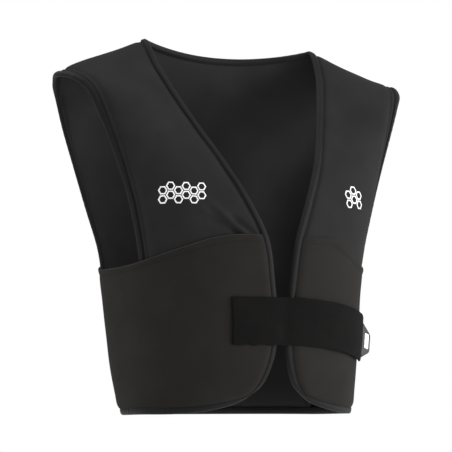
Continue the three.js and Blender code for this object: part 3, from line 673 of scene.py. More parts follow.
def hem_rim(loft, side, s):
    return Rim(loft, side, (s, loft.last), (s, loft.hem_row(s, BINDING_WIDTH)))


def gap_curve(before, beside_before, after, beside_after, t):
    """Points across a side gap, in a shallow curve that goes on from the panels on both sides."""
    reach = GAP_FULLNESS * HANDLE * np.linalg.norm(before - after, axis=-1, keepdims=True)
    leave, arrive = unit(before - beside_before) * reach, unit(after - beside_after) * reach
    t = np.asarray(t).reshape((-1,) + (1,) * before.ndim)
    return bezier((before, before + leave, after + arrive, after), t)


class GapRim:
    """Stations of the hem tape over a side gap: share 0 is at the front's corner and 1 at the back's."""

    fan = False

    def __init__(self, side, share):
        self.side, self.share = side, share
        self.count = len(share)

    def at(self, which, lift):
        ends = []
        near = np.array([1, 0.97])
        for loft in (front, back):
            row = loft.hem_row(1, BINDING_WIDTH if which == LIP else 0)
            ends.extend(skin(loft, near, row, lift, self.side))
        return gap_curve(*ends, self.share)

    def reversed(self):
        return GapRim(self.side, self.share[::-1])


def joined(rims, which, lift):
    return np.concatenate([rim.at(which, lift) for rim in rims])


def tape_frame(rims):
    """The rim's middle line, its normals and the directions that point out of the rim."""
    here = joined(rims, RIM, RIM_MIDDLE)
    normal = unit(joined(rims, RIM, RIM_MIDDLE + 1) - here)
    out = here - joined(rims, LIP, RIM_MIDDLE)
    out -= normal * (out * normal).sum(-1, keepdims=True)
    step = unit(np.gradient(here, axis=0))
    straight = out - step * (out * step).sum(-1, keepdims=True)
    fan = np.concatenate([np.full(rim.count, rim.fan) for rim in rims])
    out = unit(np.where(fan[:, None], out, straight))
    # At a corner all the lips of the fan share one nose.
    for run in np.split(np.arange(len(here)), np.flatnonzero(np.diff(fan.astype(int))) + 1):
        if fan[run[0]]:
            nose = unit(out[run[0]] + out[run[-1]])
            out[run] = nose / max(out[run[0]] @ nose, 0.5)
    return here, normal, out


def tape_points(rims, section, seed):
    """The tape's stations, with a slightly uneven roll and uneven lips."""
    here, normal, out = tape_frame(rims)
    run = running_length(here, 0)
    roll = 0.05 * ripple(run, seed, 6, 12)
    shift = 0.35 * ripple(run, seed + 1, 25, 60)
    stations = []
    for a, n in section:
        rim, lip = (joined(rims, which, RIM_MIDDLE + n) for which in (RIM, LIP))
        share = (a + shift * (a > 4)) / BINDING_WIDTH
        point = mix(rim, lip, share[:, None]) if a > 0 else rim - out * a
        stations.append(point + normal * (n * roll)[:, None] * (abs(n) > 2.5))
    return np.stack(stations, axis=1)


def stitches(name, lines, radius=STITCH_RADIUS):
    """Short bowed threads along lines, each given as (points, normals)."""
    rings, sides = 5, 6
    share = np.linspace(-1, 1, rings)[:, None]
    thick = (radius * np.sqrt(np.maximum(1 - 0.75 * share ** 2, 0)))[..., None]
    rise = radius * (0.55 - 1.1 * share ** 2)
    turn = (np.arange(sides) / sides * 2 * math.pi)[:, None]
    tubes = []
    for line, normals in lines:
        run = running_length(line, 0)
        places = np.arange(STITCH_PITCH / 2, run[-1] - STITCH_PITCH / 2, STITCH_PITCH)
        middle, up = along_line(line, run, places), unit(along_line(normals, run, places))
        way = unit(along_line(line, run, places + 0.4) - along_line(line, run, places - 0.4))
        across = unit(np.cross(way, up))
        centre = middle[:, None] + way[:, None] * share * STITCH_LENGTH / 2 + up[:, None] * rise
        ring = across[:, None] * np.cos(turn) + up[:, None] * np.sin(turn)
        tubes.append(centre[:, :, None] + ring[:, None] * thick)
    tubes = np.concatenate(tubes).reshape(-1, rings * sides, 3)
    faces = facing_out(tubes[0] - tubes[0].mean(axis=0), tube_faces(rings, sides))
    return make_object(name, tubes.reshape(-1, 3), repeated(faces, rings * sides, len(tubes)))


def tape_stitches(name, rims, seed):
    """Rows of stitches near both lips of a binding."""
    normal = tape_frame(rims)[1]
    inset, lift = TAPE_STITCH_PLACE
    lines = []
    for sign in (1, -1):
        row = tape_points(rims, [(inset, sign * lift)], seed)[:, 0]
        keep = np.concatenate([[True], np.linalg.norm(np.diff(row, axis=0), axis=1) > 1e-3])
        lines.append((row[keep], (normal * sign)[keep]))
    return stitches(name, lines)


def edge_rims(side):
    """From the middle of the side gap, round the front corner, up the edge and round the neck point."""
    gap = GapRim(side, np.linspace(0.5 - SIDE_SEAM, 0.03, 16))
    hem = hem_rim(front, side, np.concatenate([np.linspace(0.995, 0.3, 36), np.linspace(0.285, 0.006, 26)]))
    corner_lip = (front.edge_share(front.last, BINDING_WIDTH), front.hem_row(0, BINDING_WIDTH))
    corner = Rim(front, side, (0, front.last), corner_lip)
    edge_v = np.concatenate([np.linspace(front.last - 0.03, 0.2, 165), [0.12, 0.05]])
    edge = side_rim(front, side, 0, edge_v)
    turn = np.radians(np.linspace(4, 86, 7))
    seam = np.linalg.norm(np.diff(shoulder_line(np.array([0.0, 1.0])), axis=0))
    fan_s = NECK_SHARE + BINDING_WIDTH * np.cos(turn) / seam * (1 - NECK_SHARE)
    fan_v = BINDING_WIDTH * np.sin(turn) / back.gaps[1]
    fan = Rim(back, side, (NECK_SHARE, 0), (fan_s, fan_v), fan=True)
    neck_s = np.linspace(NECK_SHARE * 0.985, 0, 40)
    neck_s = neck_s[:-1] if side == LEFT else neck_s
    neck = Rim(back, side, (neck_s, 0), (neck_s, BINDING_WIDTH / back.gaps[1]))
    return [gap, hem, corner, edge, fan, neck]


def whole_edge():
    return edge_rims(RIGHT) + [rim.reversed() for rim in edge_rims(LEFT)][::-1]


def armhole_rims(side):
    v = np.linspace(ARMHOLE_END + 0.1, 0.02, 110)
    return [side_rim(front, side, 1, v), side_rim(back, side, 1, v[::-1])]


def back_hem_rims():
    s = np.linspace(0, 0.995, 60)
    over_gap = np.linspace(0.97, 0.5 + SIDE_SEAM, 16)
    across = [hem_rim(back, RIGHT, s[:0:-1]), hem_rim(back, LEFT, s)]
    return [GapRim(RIGHT, over_gap[::-1]), *across, GapRim(LEFT, over_gap)]


# Side bands

BAND_START = 6.2
# The row of the back at which a band's width is measured.
BAND_BACK_ROW = 8
ROW_STEP = 0.01
BAND_ROWS, BAND_FRONT_COLUMNS, BAND_GAP_COLUMNS, BAND_BACK_COLUMNS = 52, 43, 15, 17
# How far below a band's top edge its fold stands out most, and where the fold is sewn down.
FOLD_CREST, FOLD_SEAM = 1.0, 8.0
# The radius of the pale threads that paint a highlight along the right band's fold crest.
PAINTED_HIGHLIGHT_THREAD_RADIUS = 0.42
BAND_SWELLS = ((0.3, 60, 21), (0.12, 26, 22))
BAND_EDGE_SWELLS = ((0.18, 16, 23),)
BAND_TOP_STEPS = np.array([0, 0.4, 1, 1.8, 3, 4.5, 6, 7.2, 8, 8.8, 9.8, 11.2, 13, 15.5, 19])
SEWN_STEPS = np.array([0, 1, 2.2, 3.6, 5.2, 7, 9.5, 13])
# Lifts of a band's outer and inner face, by distance from its folded top edge, from its sewn edge on the
# front and the hem, and from its seam on the back.
FOLD_LIFTS = (
    ((0, 1.25), (0.4, 2.0), (1, 2.6), (1.8, 2.95), (3, 3.05), (4.5, 2.9), (6, 2.6), (7.2, 2.2), (8, 1.95),
     (8.8, 2.15), (10, 2.4), (13, 2.5), (40, 2.5)),
    ((0, 0.75), (0.4, 0.5), (1, 0.45), (40, 0.45)),
)
SEWN_LIFTS = (
    ((0, -0.2), (1, 0.35), (2.2, 1.05), (3.6, 1.6), (5.2, 2.05), (7, 2.35), (9.5, 2.5), (40, 2.5)),
    ((0, -1.5), (1, -1.2), (2.2, -0.75), (3.6, -0.05), (5.2, 0.25), (7, 0.45), (40, 0.45)),
)
BACK_SEAM_LIFTS = (
    ((0, 1.1), (1, 1.7), (2.2, 2.1), (3.6, 2.3), (5.2, 2.4), (7, 2.45), (9.5, 2.5), (40, 2.5)),
    ((0, 0.45), (40, 0.45)),
)


def band_reach():
    """The share of the back that a band covers."""
    return back.edge_share(BAND_BACK_ROW, BAND_BACK_WIDTH)


def on_panel(loft, share_at, side, along):
    """s and v of a band's points on one panel: steps below its top edge, even rows, steps above the hem."""
    z = band_top_height(side, along)
    rough = loft.at_height(share_at(loft.last / 2 + 0 * along), z)
    top = loft.at_height(share_at(rough), z)
    hem = loft.hem_row(share_at(loft.last + 0 * along), BAND_START)

    def per_millimetre(v):
        step = loft.point(share_at(v + ROW_STEP), v + ROW_STEP) - loft.point(share_at(v), v)
        return ROW_STEP / np.linalg.norm(step, axis=-1)

    upper = top + BAND_TOP_STEPS[:, None] * per_millimetre(top)
    lower = hem - SEWN_STEPS[::-1, None] * per_millimetre(hem - 0.02)
    v = np.concatenate([upper, spread(upper[-1], lower[0], BAND_ROWS).T, lower])
    return share_at(v), v


def band_part(loft, grid, side, from_front, from_back):
    """The outer and inner grid of a band's stretch on one panel."""
    plain = skin(loft, *grid, 0, side)
    run = running_length(plain, 0)
    from_sewn = np.minimum(run[-1] - run, from_front)
    from_seam = from_back + 0 * run
    distances = (run, from_sewn, from_seam)
    outer, inner = (np.minimum.reduce([table_value(*pair) for pair in zip(tables, distances)])
                    for tables in zip(FOLD_LIFTS, SEWN_LIFTS, BACK_SEAM_LIFTS))
    outer = np.where((from_sewn > 12) & (from_seam > 12), table_value(FOLD_LIFTS[0], run), outer)
    free = smooth(np.minimum.reduce([from_sewn, from_seam, run]) / 22)
    swell = swells(plain, BAND_SWELLS) - 0.2
    outer += np.minimum(swell, 0.15) * free + swells(plain, BAND_EDGE_SWELLS) * smooth((7 - run) / 4)
    inner += np.minimum(swell, 0) * free * 0.6
    return skin(loft, *grid, outer, side), skin(loft, *grid, inner, side)


def over_gap(before, after):
    """The two grids joined by columns over the side gap."""
    t = np.linspace(0, 1, BAND_GAP_COLUMNS + 2)[1:-1]
    span = gap_curve(before[:, -1], before[:, -2], after[:, 0], after[:, 1], t)
    return np.concatenate([before, span.transpose(1, 0, 2), after], axis=1)


def band_faces(side):
    """The outer and inner grid of a side band, over the front, the side gap and the back."""
    inset = np.concatenate([SEWN_STEPS, np.full(BAND_FRONT_COLUMNS, SEWN_STEPS[-1])])
    share = np.concatenate([0 * SEWN_STEPS, np.linspace(0, 1, BAND_FRONT_COLUMNS + 1)[1:]])
    from_front = np.where(share > 0, FAR, inset)
    ends = 1 - SEWN_STEPS[::-1] / BAND_BACK_WIDTH
    back_place = np.concatenate([np.linspace(0, ends[0], BAND_BACK_COLUMNS + 1)[:-1], ends])

    def front_share(v):
        return mix(front.edge_share(v, BAND_START + inset), 1, share)

    def back_share(v):
        return 1 - band_reach() * back_place + 0 * v

    along = front_share(front.last / 2 + 0 * share)
    on_front = on_panel(front, front_share, side, along)
    on_back = on_panel(back, back_share, side, 2 + back_place)
    before = band_part(front, on_front, side, from_front, FAR)
    after = band_part(back, on_back, side, FAR, (1 - back_place) * BAND_BACK_WIDTH)
    return [over_gap(a, b) for a, b in zip(before, after)]


def band_line(outer, distance):
    """The line of stitches on a band at a distance below its top edge, with its normals."""
    row = np.argmin(np.abs(BAND_TOP_STEPS - distance))
    normals = grid_normals(outer)[row, 2:-2]
    return outer[row, 2:-2] + normals * 0.02, normals


# Strap

STRAP_LOW_LIFT = BAND_LIFT + BAND_THICKNESS + CLEARANCE
STRAP_HIGH_LIFT = STRAP_LOW_LIFT + HOOK_PATCH_THICKNESS + 2 * CLEARANCE
STRAP_HALF = STRAP_WIDTH / 2
STRAP_EDGE = np.array([0, 0.25, 0.7, 1.3, 2.0, 3.0, 4.2, 5.6])
STRAP_LIFTS = (
    ((0, 0.75), (0.25, 1.45), (0.7, 1.95), (1.3, 2.3), (2.0, 2.5), (3.0, 2.6), (4.2, 2.45), (5.6, 2.5),
     (60, 2.6)),
    ((0, 0.45), (0.25, 0.15), (0.7, 0.0), (60, 0.0)),
)
STRAP_SWELLS = ((0.2, 18, 64),)
STRAP_EDGE_SEEDS = (61, 62)
STRAP_RIPPLE_SEED = 63
# How far the seams of the strap's sewn and free ends lie in from them, their grooves, and how far both
# ends are pressed flat.
STRAP_SEAM, STRAP_GROOVE = 4.2, 0.55
STRAP_FREE_SEAM, STRAP_FREE_GROOVE = 3.6, 0.4
STRAP_GROOVE_WIDTH = 0.8
STRAP_END_PRESS = 1.3
# Columns close to the free end, as shares of the free part.
STRAP_END_STEPS = np.array([0.006, 0.003, 0.001, 0])
# How far the strap sinks into the gap between the fronts, the rounding of its free corners, and how much
# shorter its lower edge is than its upper one, because it runs a little downwards.
STRAP_DIP = 1.1
STRAP_CORNER = 7.0
STRAP_SLANT = 8.0


def strap_places():
    """Shares of the front's width: the strap's sewn end, the bound edge, the hook patch and the free end."""
    level = front.at_height(0, -STRAP_LEVEL)
    start, patch_start, end = (halved(0.0, 1.0, lambda s: front.point(s, level)[0] < x)
                               for x in (STRAP_START, HOOK_PATCH_START, STRAP_END))
    return start, front.edge_share(level, BINDING_WIDTH), patch_start, end


def strap_part(side, s, heights, lifts, narrowing=1):
    """A stretch of the strap: a grid of heights off its middle line by places along it."""
    fall, lift = 0 * s, STRAP_LOW_LIFT + 0 * s
    columns = s[None]
    if side == LEFT:
        fall = STRAP_FALL * s ** STRAP_FALL_POWER
        lift = mix(STRAP_LOW_LIFT, STRAP_HIGH_LIFT, np.minimum(s / (STRAP_RISE * strap_places()[2]), 1))
        below = (0.5 - heights[:, None] / STRAP_WIDTH) * STRAP_SLANT / STRAP_END
        columns = s * (1 - below * smooth(s / s[-1]))
    v = front.at_height(columns, -STRAP_LEVEL - fall + heights[:, None] * narrowing)
    return skin(front, columns, v, lift + lifts[:, None], side)


def strap_faces():
    """The outer and inner grid of the strap: on the right front, over the gap and on the left front."""
    inset = np.concatenate([STRAP_EDGE, np.linspace(STRAP_EDGE[-1], STRAP_HALF, 10)[1:-1]])
    heights = np.concatenate([STRAP_HALF - inset, [0], (inset - STRAP_HALF)[::-1]])
    start, edge, _, end = strap_places()
    free = np.concatenate([np.linspace(edge, end, 100)[:-1], mix(end, edge, STRAP_END_STEPS)])
    to_end = (end - free) / (end - edge) * (STRAP_END - BINDING_WIDTH)
    into = np.maximum(0, STRAP_CORNER - to_end)
    narrowing = (STRAP_HALF - STRAP_CORNER + np.sqrt(STRAP_CORNER ** 2 - into ** 2)) / STRAP_HALF
    t = np.linspace(0, 1, 18)[1:-1][None, :, None]
    dip = np.array([0, STRAP_DIP, 0]) * np.sin(math.pi * t) ** 2
    faces = []
    for table in STRAP_LIFTS:
        lifts = table_value(table, STRAP_HALF - np.abs(heights))
        right = strap_part(RIGHT, np.linspace(start, edge, 40), heights, lifts)
        left = strap_part(LEFT, free, heights, lifts, narrowing)
        faces.append(np.concatenate([right, mix(right[:, -1:], left[:, :1], t) + dip, left], axis=1))
    return wavy(*faces, heights[:, None])


def wavy(outer, inner, heights):
    """Irregular edges, soft swells and the strap's two ends pressed flat."""
    middle = outer[len(heights) // 2]
    run = running_length(middle, 0)
    to_end = run[-1] - run
    up = unit(outer[0] - outer[-1])
    facing = unit(np.cross(np.gradient(middle, axis=0), up))
    facing *= -np.sign(facing[:, [1]])
    off_middle = np.abs(heights / STRAP_HALF)
    strength = mix(1.0, 0.35, smooth((run - 55) / 60)) * 0.75
    upper, lower = (ripple(run, seed, 9, 24) * strength for seed in STRAP_EDGE_SEEDS)
    shift = np.where(heights > 0, upper, -lower) * off_middle ** 3
    swell = 0.3 * ripple(run, STRAP_RIPPLE_SEED, 30, 70) + swells(outer, STRAP_SWELLS) * (1 - off_middle ** 6)
    pressed = np.minimum(run, to_end)
    free = smooth(pressed / 10)
    groove = STRAP_GROOVE * np.exp(-((run - STRAP_SEAM) / STRAP_GROOVE_WIDTH) ** 2)
    free_groove = STRAP_FREE_GROOVE * np.exp(-((to_end - STRAP_FREE_SEAM) / STRAP_GROOVE_WIDTH) ** 2)
    press = STRAP_END_PRESS * (1 - smooth((pressed - 0.2) / 1.6))
    outer_lift = swell * free - press - groove - free_groove
    inner_lift = 0.2 + np.maximum(swell, 0) * free * 0.6
    return [grid + up * shift[..., None] + facing * lift[..., None]
            for grid, lift in ((outer, outer_lift), (inner, inner_lift))]


def strap_line(outer):
    """The line of stitches across the strap's sewn end, with its normals."""
    inset = np.argmin(np.abs(STRAP_EDGE - STRAP_SEAM))
    sewn = np.argmin(np.abs(running_length(outer[len(outer) // 2], 0) - STRAP_SEAM))
    normals = grid_normals(outer)[inset:-inset, sewn]
    return outer[inset:-inset, sewn] + normals * 0.05, normals


# Pull tab

# Sections: how far in from the outline, and how far off the tab's middle plane.
TAB_HALF_SECTION = ((0.1, 0.5), (0.4, 0.85), (0.9, 1.05), (1.5, 1.1), (2.7, 1.1), (3.1, 0.95), (3.5, 0.7),
                    (4.1, 0.62))
TAB_SECTION = (*((a, -n) for a, n in TAB_HALF_SECTION[::-1]), (0, 0), *TAB_HALF_SECTION)
# How much the root's corners are nicked off, and a share of the strap close to its free end.
TAB_NICK = 0.8
NEAR_END = 8 / 9
TAB_SIDE_PLACES = (TAB_NICK, 4, 8, 12, 16)
BAR_SECTION = ((0, 0.5), (0, 0.95), (0.15, 1.1), (0.5, 1.18))
BAR_LENGTH, BAR_WIDTH, BAR_CORNER = 18, 10.5, 1.2
BAR_PLACE = np.array([13.5, 1.2])


def tab_outline():
    """The tab's outline from the root's upper end round the tip, corners rounded."""
    root, tip = TAB_ROOT_WIDTH / 2, TAB_TIP_WIDTH / 2
    nick, flat, corner_start = root - TAB_NICK, tip - TAB_CORNER, TAB_LENGTH - TAB_CORNER
    t = np.linspace(0, 1, 9)[:, None]
    steer = np.array([[corner_start, mix(root, tip, corner_start / TAB_LENGTH)], [TAB_LENGTH, tip],
                      [TAB_LENGTH, flat]])
    curve = (1 - t) ** 2 * steer[0] + 2 * (1 - t) * t * steer[1] + t ** 2 * steer[2]
    upper = np.array([[0, nick], *([x, mix(root, tip, x / TAB_LENGTH)] for x in TAB_SIDE_PLACES), *curve])
    end = [[TAB_LENGTH, y] for y in np.linspace(flat, -flat, 6)[1:-1]]
    root_side = [[0, y] for y in np.linspace(-nick, nick, 9)[1:-1]]
    return np.concatenate([upper, end, (upper * [1, -1])[::-1], root_side])


def bar_outline():
    """The outline of the pale bar across the tab, corners rounded."""
    angle = np.linspace(0, math.pi / 2, 6)[:, None]
    centre = np.array([BAR_WIDTH, BAR_LENGTH]) / 2 - BAR_CORNER
    first = BAR_CORNER * np.hstack([np.cos(angle), np.sin(angle)]) + centre
    second = (first * [-1, 1])[::-1]
    return np.concatenate([first, second, -first, -second])


def inset_loop(loop, distance):
    """A loop drawn in by a distance, square to its own line."""
    before, after = unit(loop - np.roll(loop, 1, axis=0)), unit(np.roll(loop, -1, axis=0) - loop)
    way = unit(before + after)
    inward = np.column_stack([way[:, 1], -way[:, 0]])
    inward *= np.sign(((loop.mean(axis=0) - loop) * inward).sum())
    bend = np.clip((before * way).sum(-1, keepdims=True), 0.6, 1)
    return loop + inward * distance / bend


def tab_frame():
    """The middle of the tab's root, its direction, the direction across it and the way it faces."""
    _, edge, _, end = strap_places()
    near_end = np.array([mix(edge, end, NEAR_END), end])
    lifts = np.full(2, STRAP_THICKNESS / 2)
    ends = strap_part(LEFT, near_end, np.array([STRAP_HALF, -STRAP_HALF]), lifts)
    across = unit(ends[0, 1] - ends[1, 1])
    near, last = ends.mean(axis=0)
    forward = unit(last - near - across * ((last - near) @ across))
    angle = math.radians(TAB_STAND_OFF)
    turned = unit(forward * math.cos(angle) + np.cross(forward, across) * math.sin(angle))
    origin = last + forward * (CLEARANCE + TAB_THICKNESS / 2 * math.sin(angle))
    return origin, turned, across, np.cross(turned, across)


def plate(name, outline, section, place=0.0):
    """A body through inset loops of an outline, in the tab's own axes."""
    origin, along, across, facing = tab_frame()
    loops = []
    for inset, height in section:
        loop = inset_loop(outline, inset) + place
        loops.append(origin + loop[:, [0]] * along + loop[:, [1]] * across + height * facing)
    return swept_object(name, np.array(loops))


# Chest marks: a plain honeycomb of outlines, lying on the cloth

# Sizes of a cell, as shares of the honeycomb's cell radius, and the lifts of the print's two faces.
MARK_CELL = 0.9
MARK_STROKE = 0.27
MARK_ROWS = 2
MARK_TOP, MARK_UNDERSIDE = 0.24, 0.05
CELL_SIDE_PARTS = 4


def cell_loop(centre, radius):
    """The outline of one cell, its sides in parts."""
    angle = np.radians(np.arange(7) * 60)
    corners = np.column_stack([np.cos(angle), np.sin(angle)])
    share = np.arange(CELL_SIDE_PARTS)[:, None] / CELL_SIDE_PARTS
    return np.concatenate([mix(a, b, share) for a, b in zip(corners, corners[1:])]) * radius + centre


def mark(name, place, columns, radius, side):
    """Two rows of cells round a place on a front, as thin outlines that lie on the cloth."""
    here, off = (skin(front, *place, lift, side) for lift in (0, 1))
    facing = unit(off - here)
    across = unit(np.cross([0, 0, 1], facing))
    up = np.cross(facing, across)
    tree = tree_of(pads[side])
    cells = [(1.5 * i, math.sqrt(3) * (j + i % 2 / 2)) for i in range(columns) for j in range(MARK_ROWS)]
    centres = np.array(cells)
    centres -= (centres.max(axis=0) + centres.min(axis=0)) / 2
    points = []
    for centre in centres:
        loops = [cell_loop(centre, size) * radius for size in (MARK_CELL, MARK_CELL - MARK_STROKE)]
        outline, inline = (here + loop[:, [0]] * across + loop[:, [1]] * up for loop in loops)
        for loop, lift in ((outline, MARK_TOP), (inline, MARK_TOP), (inline, MARK_UNDERSIDE),
                           (outline, MARK_UNDERSIDE)):
            points.append(set_down(loop, facing, tree, lift))
    size = len(points[0])
    faces = repeated(tube_faces(4, size, closed=True), 4 * size, len(centres))
    points = np.concatenate(points)
    return make_object(name, points, facing_out(points, faces))


# Materials


def node_material(name, roughness):
    made = bpy.data.materials.new(name)
    made.use_nodes = True
    tree = made.node_tree
    tree.nodes.clear()
    shader = tree.nodes.new("ShaderNodeBsdfPrincipled")
    output = tree.nodes.new("ShaderNodeOutputMaterial")
    tree.links.new(shader.outputs["BSDF"], output.inputs["Surface"])
    shader.inputs["Roughness"].default_value = roughness
    return made, tree, shader


def linear(level):
    """The linear value of a grey level from 0 to 255."""
    value = level / 255
    return value / 12.92 if value <= 0.04045 else ((value + 0.055) / 1.055) ** 2.4


def noise(tree, scale, detail=2, place=None):
    node = tree.nodes.new("ShaderNodeTexNoise")
    node.inputs["Scale"].default_value = scale
    node.inputs["Detail"].default_value = detail
    if place is not None:
        tree.links.new(place, node.inputs["Vector"])
    return node.outputs["Fac"]


def weighed(tree, operation, value, weight):
    node = tree.nodes.new("ShaderNodeMath")
    node.operation = operation
    node.inputs[1].default_value = weight
    tree.links.new(value, node.inputs[0])
    return node


def colour_ramp(tree, value, shader, colours, positions=(0, 1)):
    """Gives a shader a colour between two, by a value."""
    ramp = tree.nodes.new("ShaderNodeValToRGB")
    for element, colour, position in zip(ramp.color_ramp.elements, colours, positions):
        element.color = (*colour, 1)
        element.position = position
    tree.links.new(value, ramp.inputs["Fac"])
    tree.links.new(ramp.outputs["Color"], shader.inputs["Base Color"])


def cloth(name, levels, thread=1.1, bump=0.12, roughness=0.9, shine=0.08, uv=True):
    """A woven or knitted cloth: fine threads as a bump, and a slightly uneven colour."""
    made, tree, shader = node_material(name, roughness)
    place = tree.nodes.new("ShaderNodeTexCoord")
    fine = noise(tree, 1000 / thread, 3, place.outputs["UV" if uv else "Object"])
    broad = noise(tree, 1000 / CLOTH_PATCH, 4, place.outputs["Object"])
    blend = weighed(tree, "MULTIPLY_ADD", fine, FINE_WEIGHT)
    tree.links.new(weighed(tree, "MULTIPLY", broad, 1 - FINE_WEIGHT).outputs[0], blend.inputs[2])
    colours = [[linear(channel) for channel in level] for level in levels]
    colour_ramp(tree, blend.outputs[0], shader, colours, CLOTH_RAMP)
    bumped = tree.nodes.new("ShaderNodeBump")
    bumped.inputs["Strength"].default_value = bump
    bumped.inputs["Distance"].default_value = THREAD_DEPTH
    tree.links.new(fine, bumped.inputs["Height"])
    tree.links.new(bumped.outputs["Normal"], shader.inputs["Normal"])
    shader.inputs["Specular IOR Level"].default_value = shine
    return made


def greys(low, high):
    return (low,) * 3, (high,) * 3


# The size of a cloth's uneven patches in millimetres, the weight of its threads in its colour, the values
# between which its colour changes, and the depth of its threads in metres.
CLOTH_PATCH = 35
FINE_WEIGHT = 0.35
CLOTH_RAMP = (0.3, 0.72)
THREAD_DEPTH = 0.0012
PANEL_CLOTH = cloth("panel cloth", ((23, 23, 23.5), (29, 29, 29.5)), shine=0.05)
LINING_CLOTH = cloth("lining cloth", ((27, 27, 27.5), (33, 33, 33.5)), shine=0.05)
BAND_CLOTH = cloth("band cloth", ((22.5, 21.8, 21), (27.5, 26.8, 25.8)), thread=1.4, bump=0.18, shine=0.05)
TAPE_CLOTH = cloth("binding tape", greys(15, 20), thread=0.9, bump=0.2, roughness=0.6, shine=0.06)
STRAP_CLOTH = cloth("loop cloth", ((10, 10, 10), (15.5, 15, 14.5)), thread=1.8, bump=0.35, roughness=0.95,
                    shine=0.03)
THREAD = cloth("thread", greys(22, 28), thread=0.5, uv=False, roughness=0.7, shine=0.05)
# A pale thread for the right band's fold crest: a painted highlight, standing in for light caught by the
# fold's edge.
PAINTED_HIGHLIGHT_THREAD = cloth("painted highlight thread", ((46, 45, 43), (54, 53, 51)), thread=0.5, uv=False, roughness=0.7,
                    shine=0.05)
HOOKS = cloth("hook field", greys(12, 18), thread=1.5, bump=0.5, uv=False, roughness=0.7)
RUBBER = cloth("grey rubber", greys(17, 21), thread=0.8, bump=0.08, uv=False, roughness=0.55, shine=0.2)
MARK_INK = cloth("mark print", greys(188, 200), thread=0.8, bump=0.05, uv=False)


# Assembly


def dress(thing, material, slot_name, *nodes):
    """Gives a piece its cloth and its place in the frame, and hides the solids that it stands for."""
    thing.data.materials.append(material)
    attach(thing, "root")
    if nodes:
        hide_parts(*nodes)
    return thing


def dress_pad(pad, node):
    dress(pad, PANEL_CLOTH, "panel_fabric", node)
    pad.data.materials.append(LINING_CLOTH)
    start, end = pad["inner_faces"]
    for face in pad.data.polygons[start:end]:
        face.material_index = 1
    return pad


def bind(name, rims, seed, node):
    tape = swept_object(name + "_tape", tape_points(rims, TAPE_SECTION, seed))
    dress(tape, TAPE_CLOTH, "binding_tape", node)
    run = running_length(tape_frame(rims)[0], 0)[-1] / 1000
    dress(tape_stitches(name + "_stitches", rims, seed), THREAD, "binding_tape")


pads = {}
for side, word in SIDE_WORDS.items():
    pad = sheet_object(f"front_panel_{word}_pad", *front_panel(side))
    pads[side] = dress_pad(pad, f"front_panel_{word}")
dress_pad(sheet_object("back_panel_pad", *back_panel()), "back_panel")

bind("edge", whole_edge(), 101, "edge_binding")
bind("armhole_right", armhole_rims(RIGHT), 102, "armhole_binding_right")
bind("armhole_left", armhole_rims(LEFT), 103, "armhole_binding_left")
bind("back_hem", back_hem_rims(), 104, "back_hem_binding")

band_grids = {side: band_faces(side) for side in SIDE_WORDS}
for side, word in SIDE_WORDS.items():
    band = sheet_object(f"side_band_{word}_cloth", *band_grids[side])
    dress(band, BAND_CLOTH, "band_fabric", f"side_band_{word}")
seams = [band_line(outer, FOLD_SEAM) for outer, _ in band_grids.values()]
dress(stitches("band_stitches", seams), THREAD, "band_fabric")
# A row of pale threads along the right band's fold crest only: a painted highlight where the fold catches the
# light.
highlight_crest = band_line(band_grids[RIGHT][0], FOLD_CREST)
dress(stitches("band_crest_painted_highlight", [highlight_crest], PAINTED_HIGHLIGHT_THREAD_RADIUS), PAINTED_HIGHLIGHT_THREAD, "band_fabric")

strap_grids = strap_faces()
strap = dress(sheet_object("strap_cloth", *strap_grids), STRAP_CLOTH, "strap_webbing", "closure_strap")
dress(stitches("strap_stitches", [strap_line(strap_grids[0])]), THREAD, "strap_webbing")

dress(plate("tab_rubber_plate", tab_outline(), TAB_SECTION), RUBBER, "tab_rubber", "pull_tab")
dress(plate("tab_bar", bar_outline(), BAR_SECTION, BAR_PLACE), MARK_INK, "tab_rubber")

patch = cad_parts["hook_patch"]
patch.data.materials.clear()
patch.data.materials.append(HOOKS)

# A mark's place is its s and v on the front. Its cells have a count of columns and a radius.
dress(mark("mark_right", (0.53, 4.77), 6, 6.0, RIGHT), MARK_INK, "panel_fabric")
dress(mark("mark_left", (0.475, 4.71), 3, 6.4, LEFT), MARK_INK, "panel_fabric")


# Camera, light and floor, in metres and degrees, with the lens and its sensor in millimetres

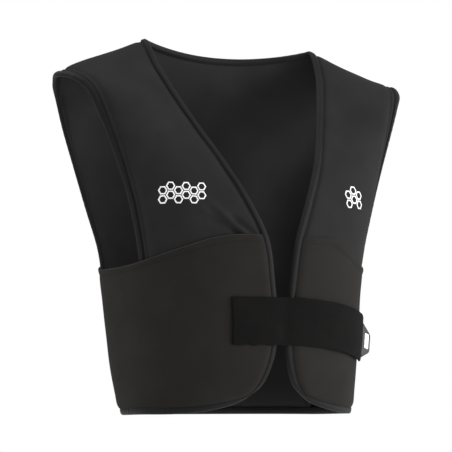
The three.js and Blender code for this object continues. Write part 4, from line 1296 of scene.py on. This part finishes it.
AZIMUTH, ELEVATION, DISTANCE = -29, -3.8, 3.0
LENS, SENSOR = 199.1, 36
TARGET = Vector((-0.008, MIDDLE_Y / 1000, -0.22))
LIGHT_DISTANCE, LIGHT_SIZE = 2.2, 1.6
# Soft lights: azimuth, elevation, and power in watts.
LIGHTS = {
    "left_back": (-105, 45, 49),
    "right_front": (45, 5, 66),
    "right": (75, 5, 26),
    "top": (0, 88, 25),
}
FLOOR_LEVEL, FLOOR_RADIUS, FLOOR_SIDES = -0.75, 5.0, 96


def aim_at_target(name, data, azimuth, elevation, distance):
    """A camera or a light that looks at the target: azimuth 0 is in front of the wearer."""
    turn, rise = math.radians(azimuth), math.radians(elevation)
    away = Vector((math.sin(turn) * math.cos(rise), -math.cos(turn) * math.cos(rise), math.sin(rise)))
    thing = bpy.data.objects.new(name, data)
    thing.location = TARGET + away * distance
    thing.rotation_euler = (-away).to_track_quat("-Z", "Y").to_euler()
    bpy.context.scene.collection.objects.link(thing)
    return thing


camera = bpy.data.cameras.new("camera")
camera.lens, camera.sensor_width, camera.clip_end = LENS, SENSOR, 50
bpy.context.scene.camera = aim_at_target("camera", camera, AZIMUTH, ELEVATION, DISTANCE)

for light_name, (azimuth, elevation, power) in LIGHTS.items():
    light = bpy.data.lights.new(light_name, "AREA")
    light.shape, light.size, light.energy = "DISK", LIGHT_SIZE, power
    aim_at_target(light_name, light, azimuth, elevation, LIGHT_DISTANCE)

world = bpy.data.worlds.new("studio")
world.use_nodes = True
background = world.node_tree.nodes["Background"]
background.inputs["Color"].default_value = (1, 1, 1, 1)
background.inputs["Strength"].default_value = 1.0
bpy.context.scene.world = world
bpy.context.scene.view_settings.view_transform = "Standard"

angles = np.arange(FLOOR_SIDES) / FLOOR_SIDES * 2 * math.pi
ring = np.column_stack([np.cos(angles), np.sin(angles), 0 * angles]) * FLOOR_RADIUS
floor = make_object("floor", (ring + [0, 0, FLOOR_LEVEL]) * 1000, [list(range(FLOOR_SIDES))])
floor_material, floor_tree, floor_shader = node_material("floor", 0.9)
colour_ramp(floor_tree, noise(floor_tree, 3), floor_shader, ((0.86,) * 3, (0.9,) * 3))
floor.data.materials.append(floor_material)
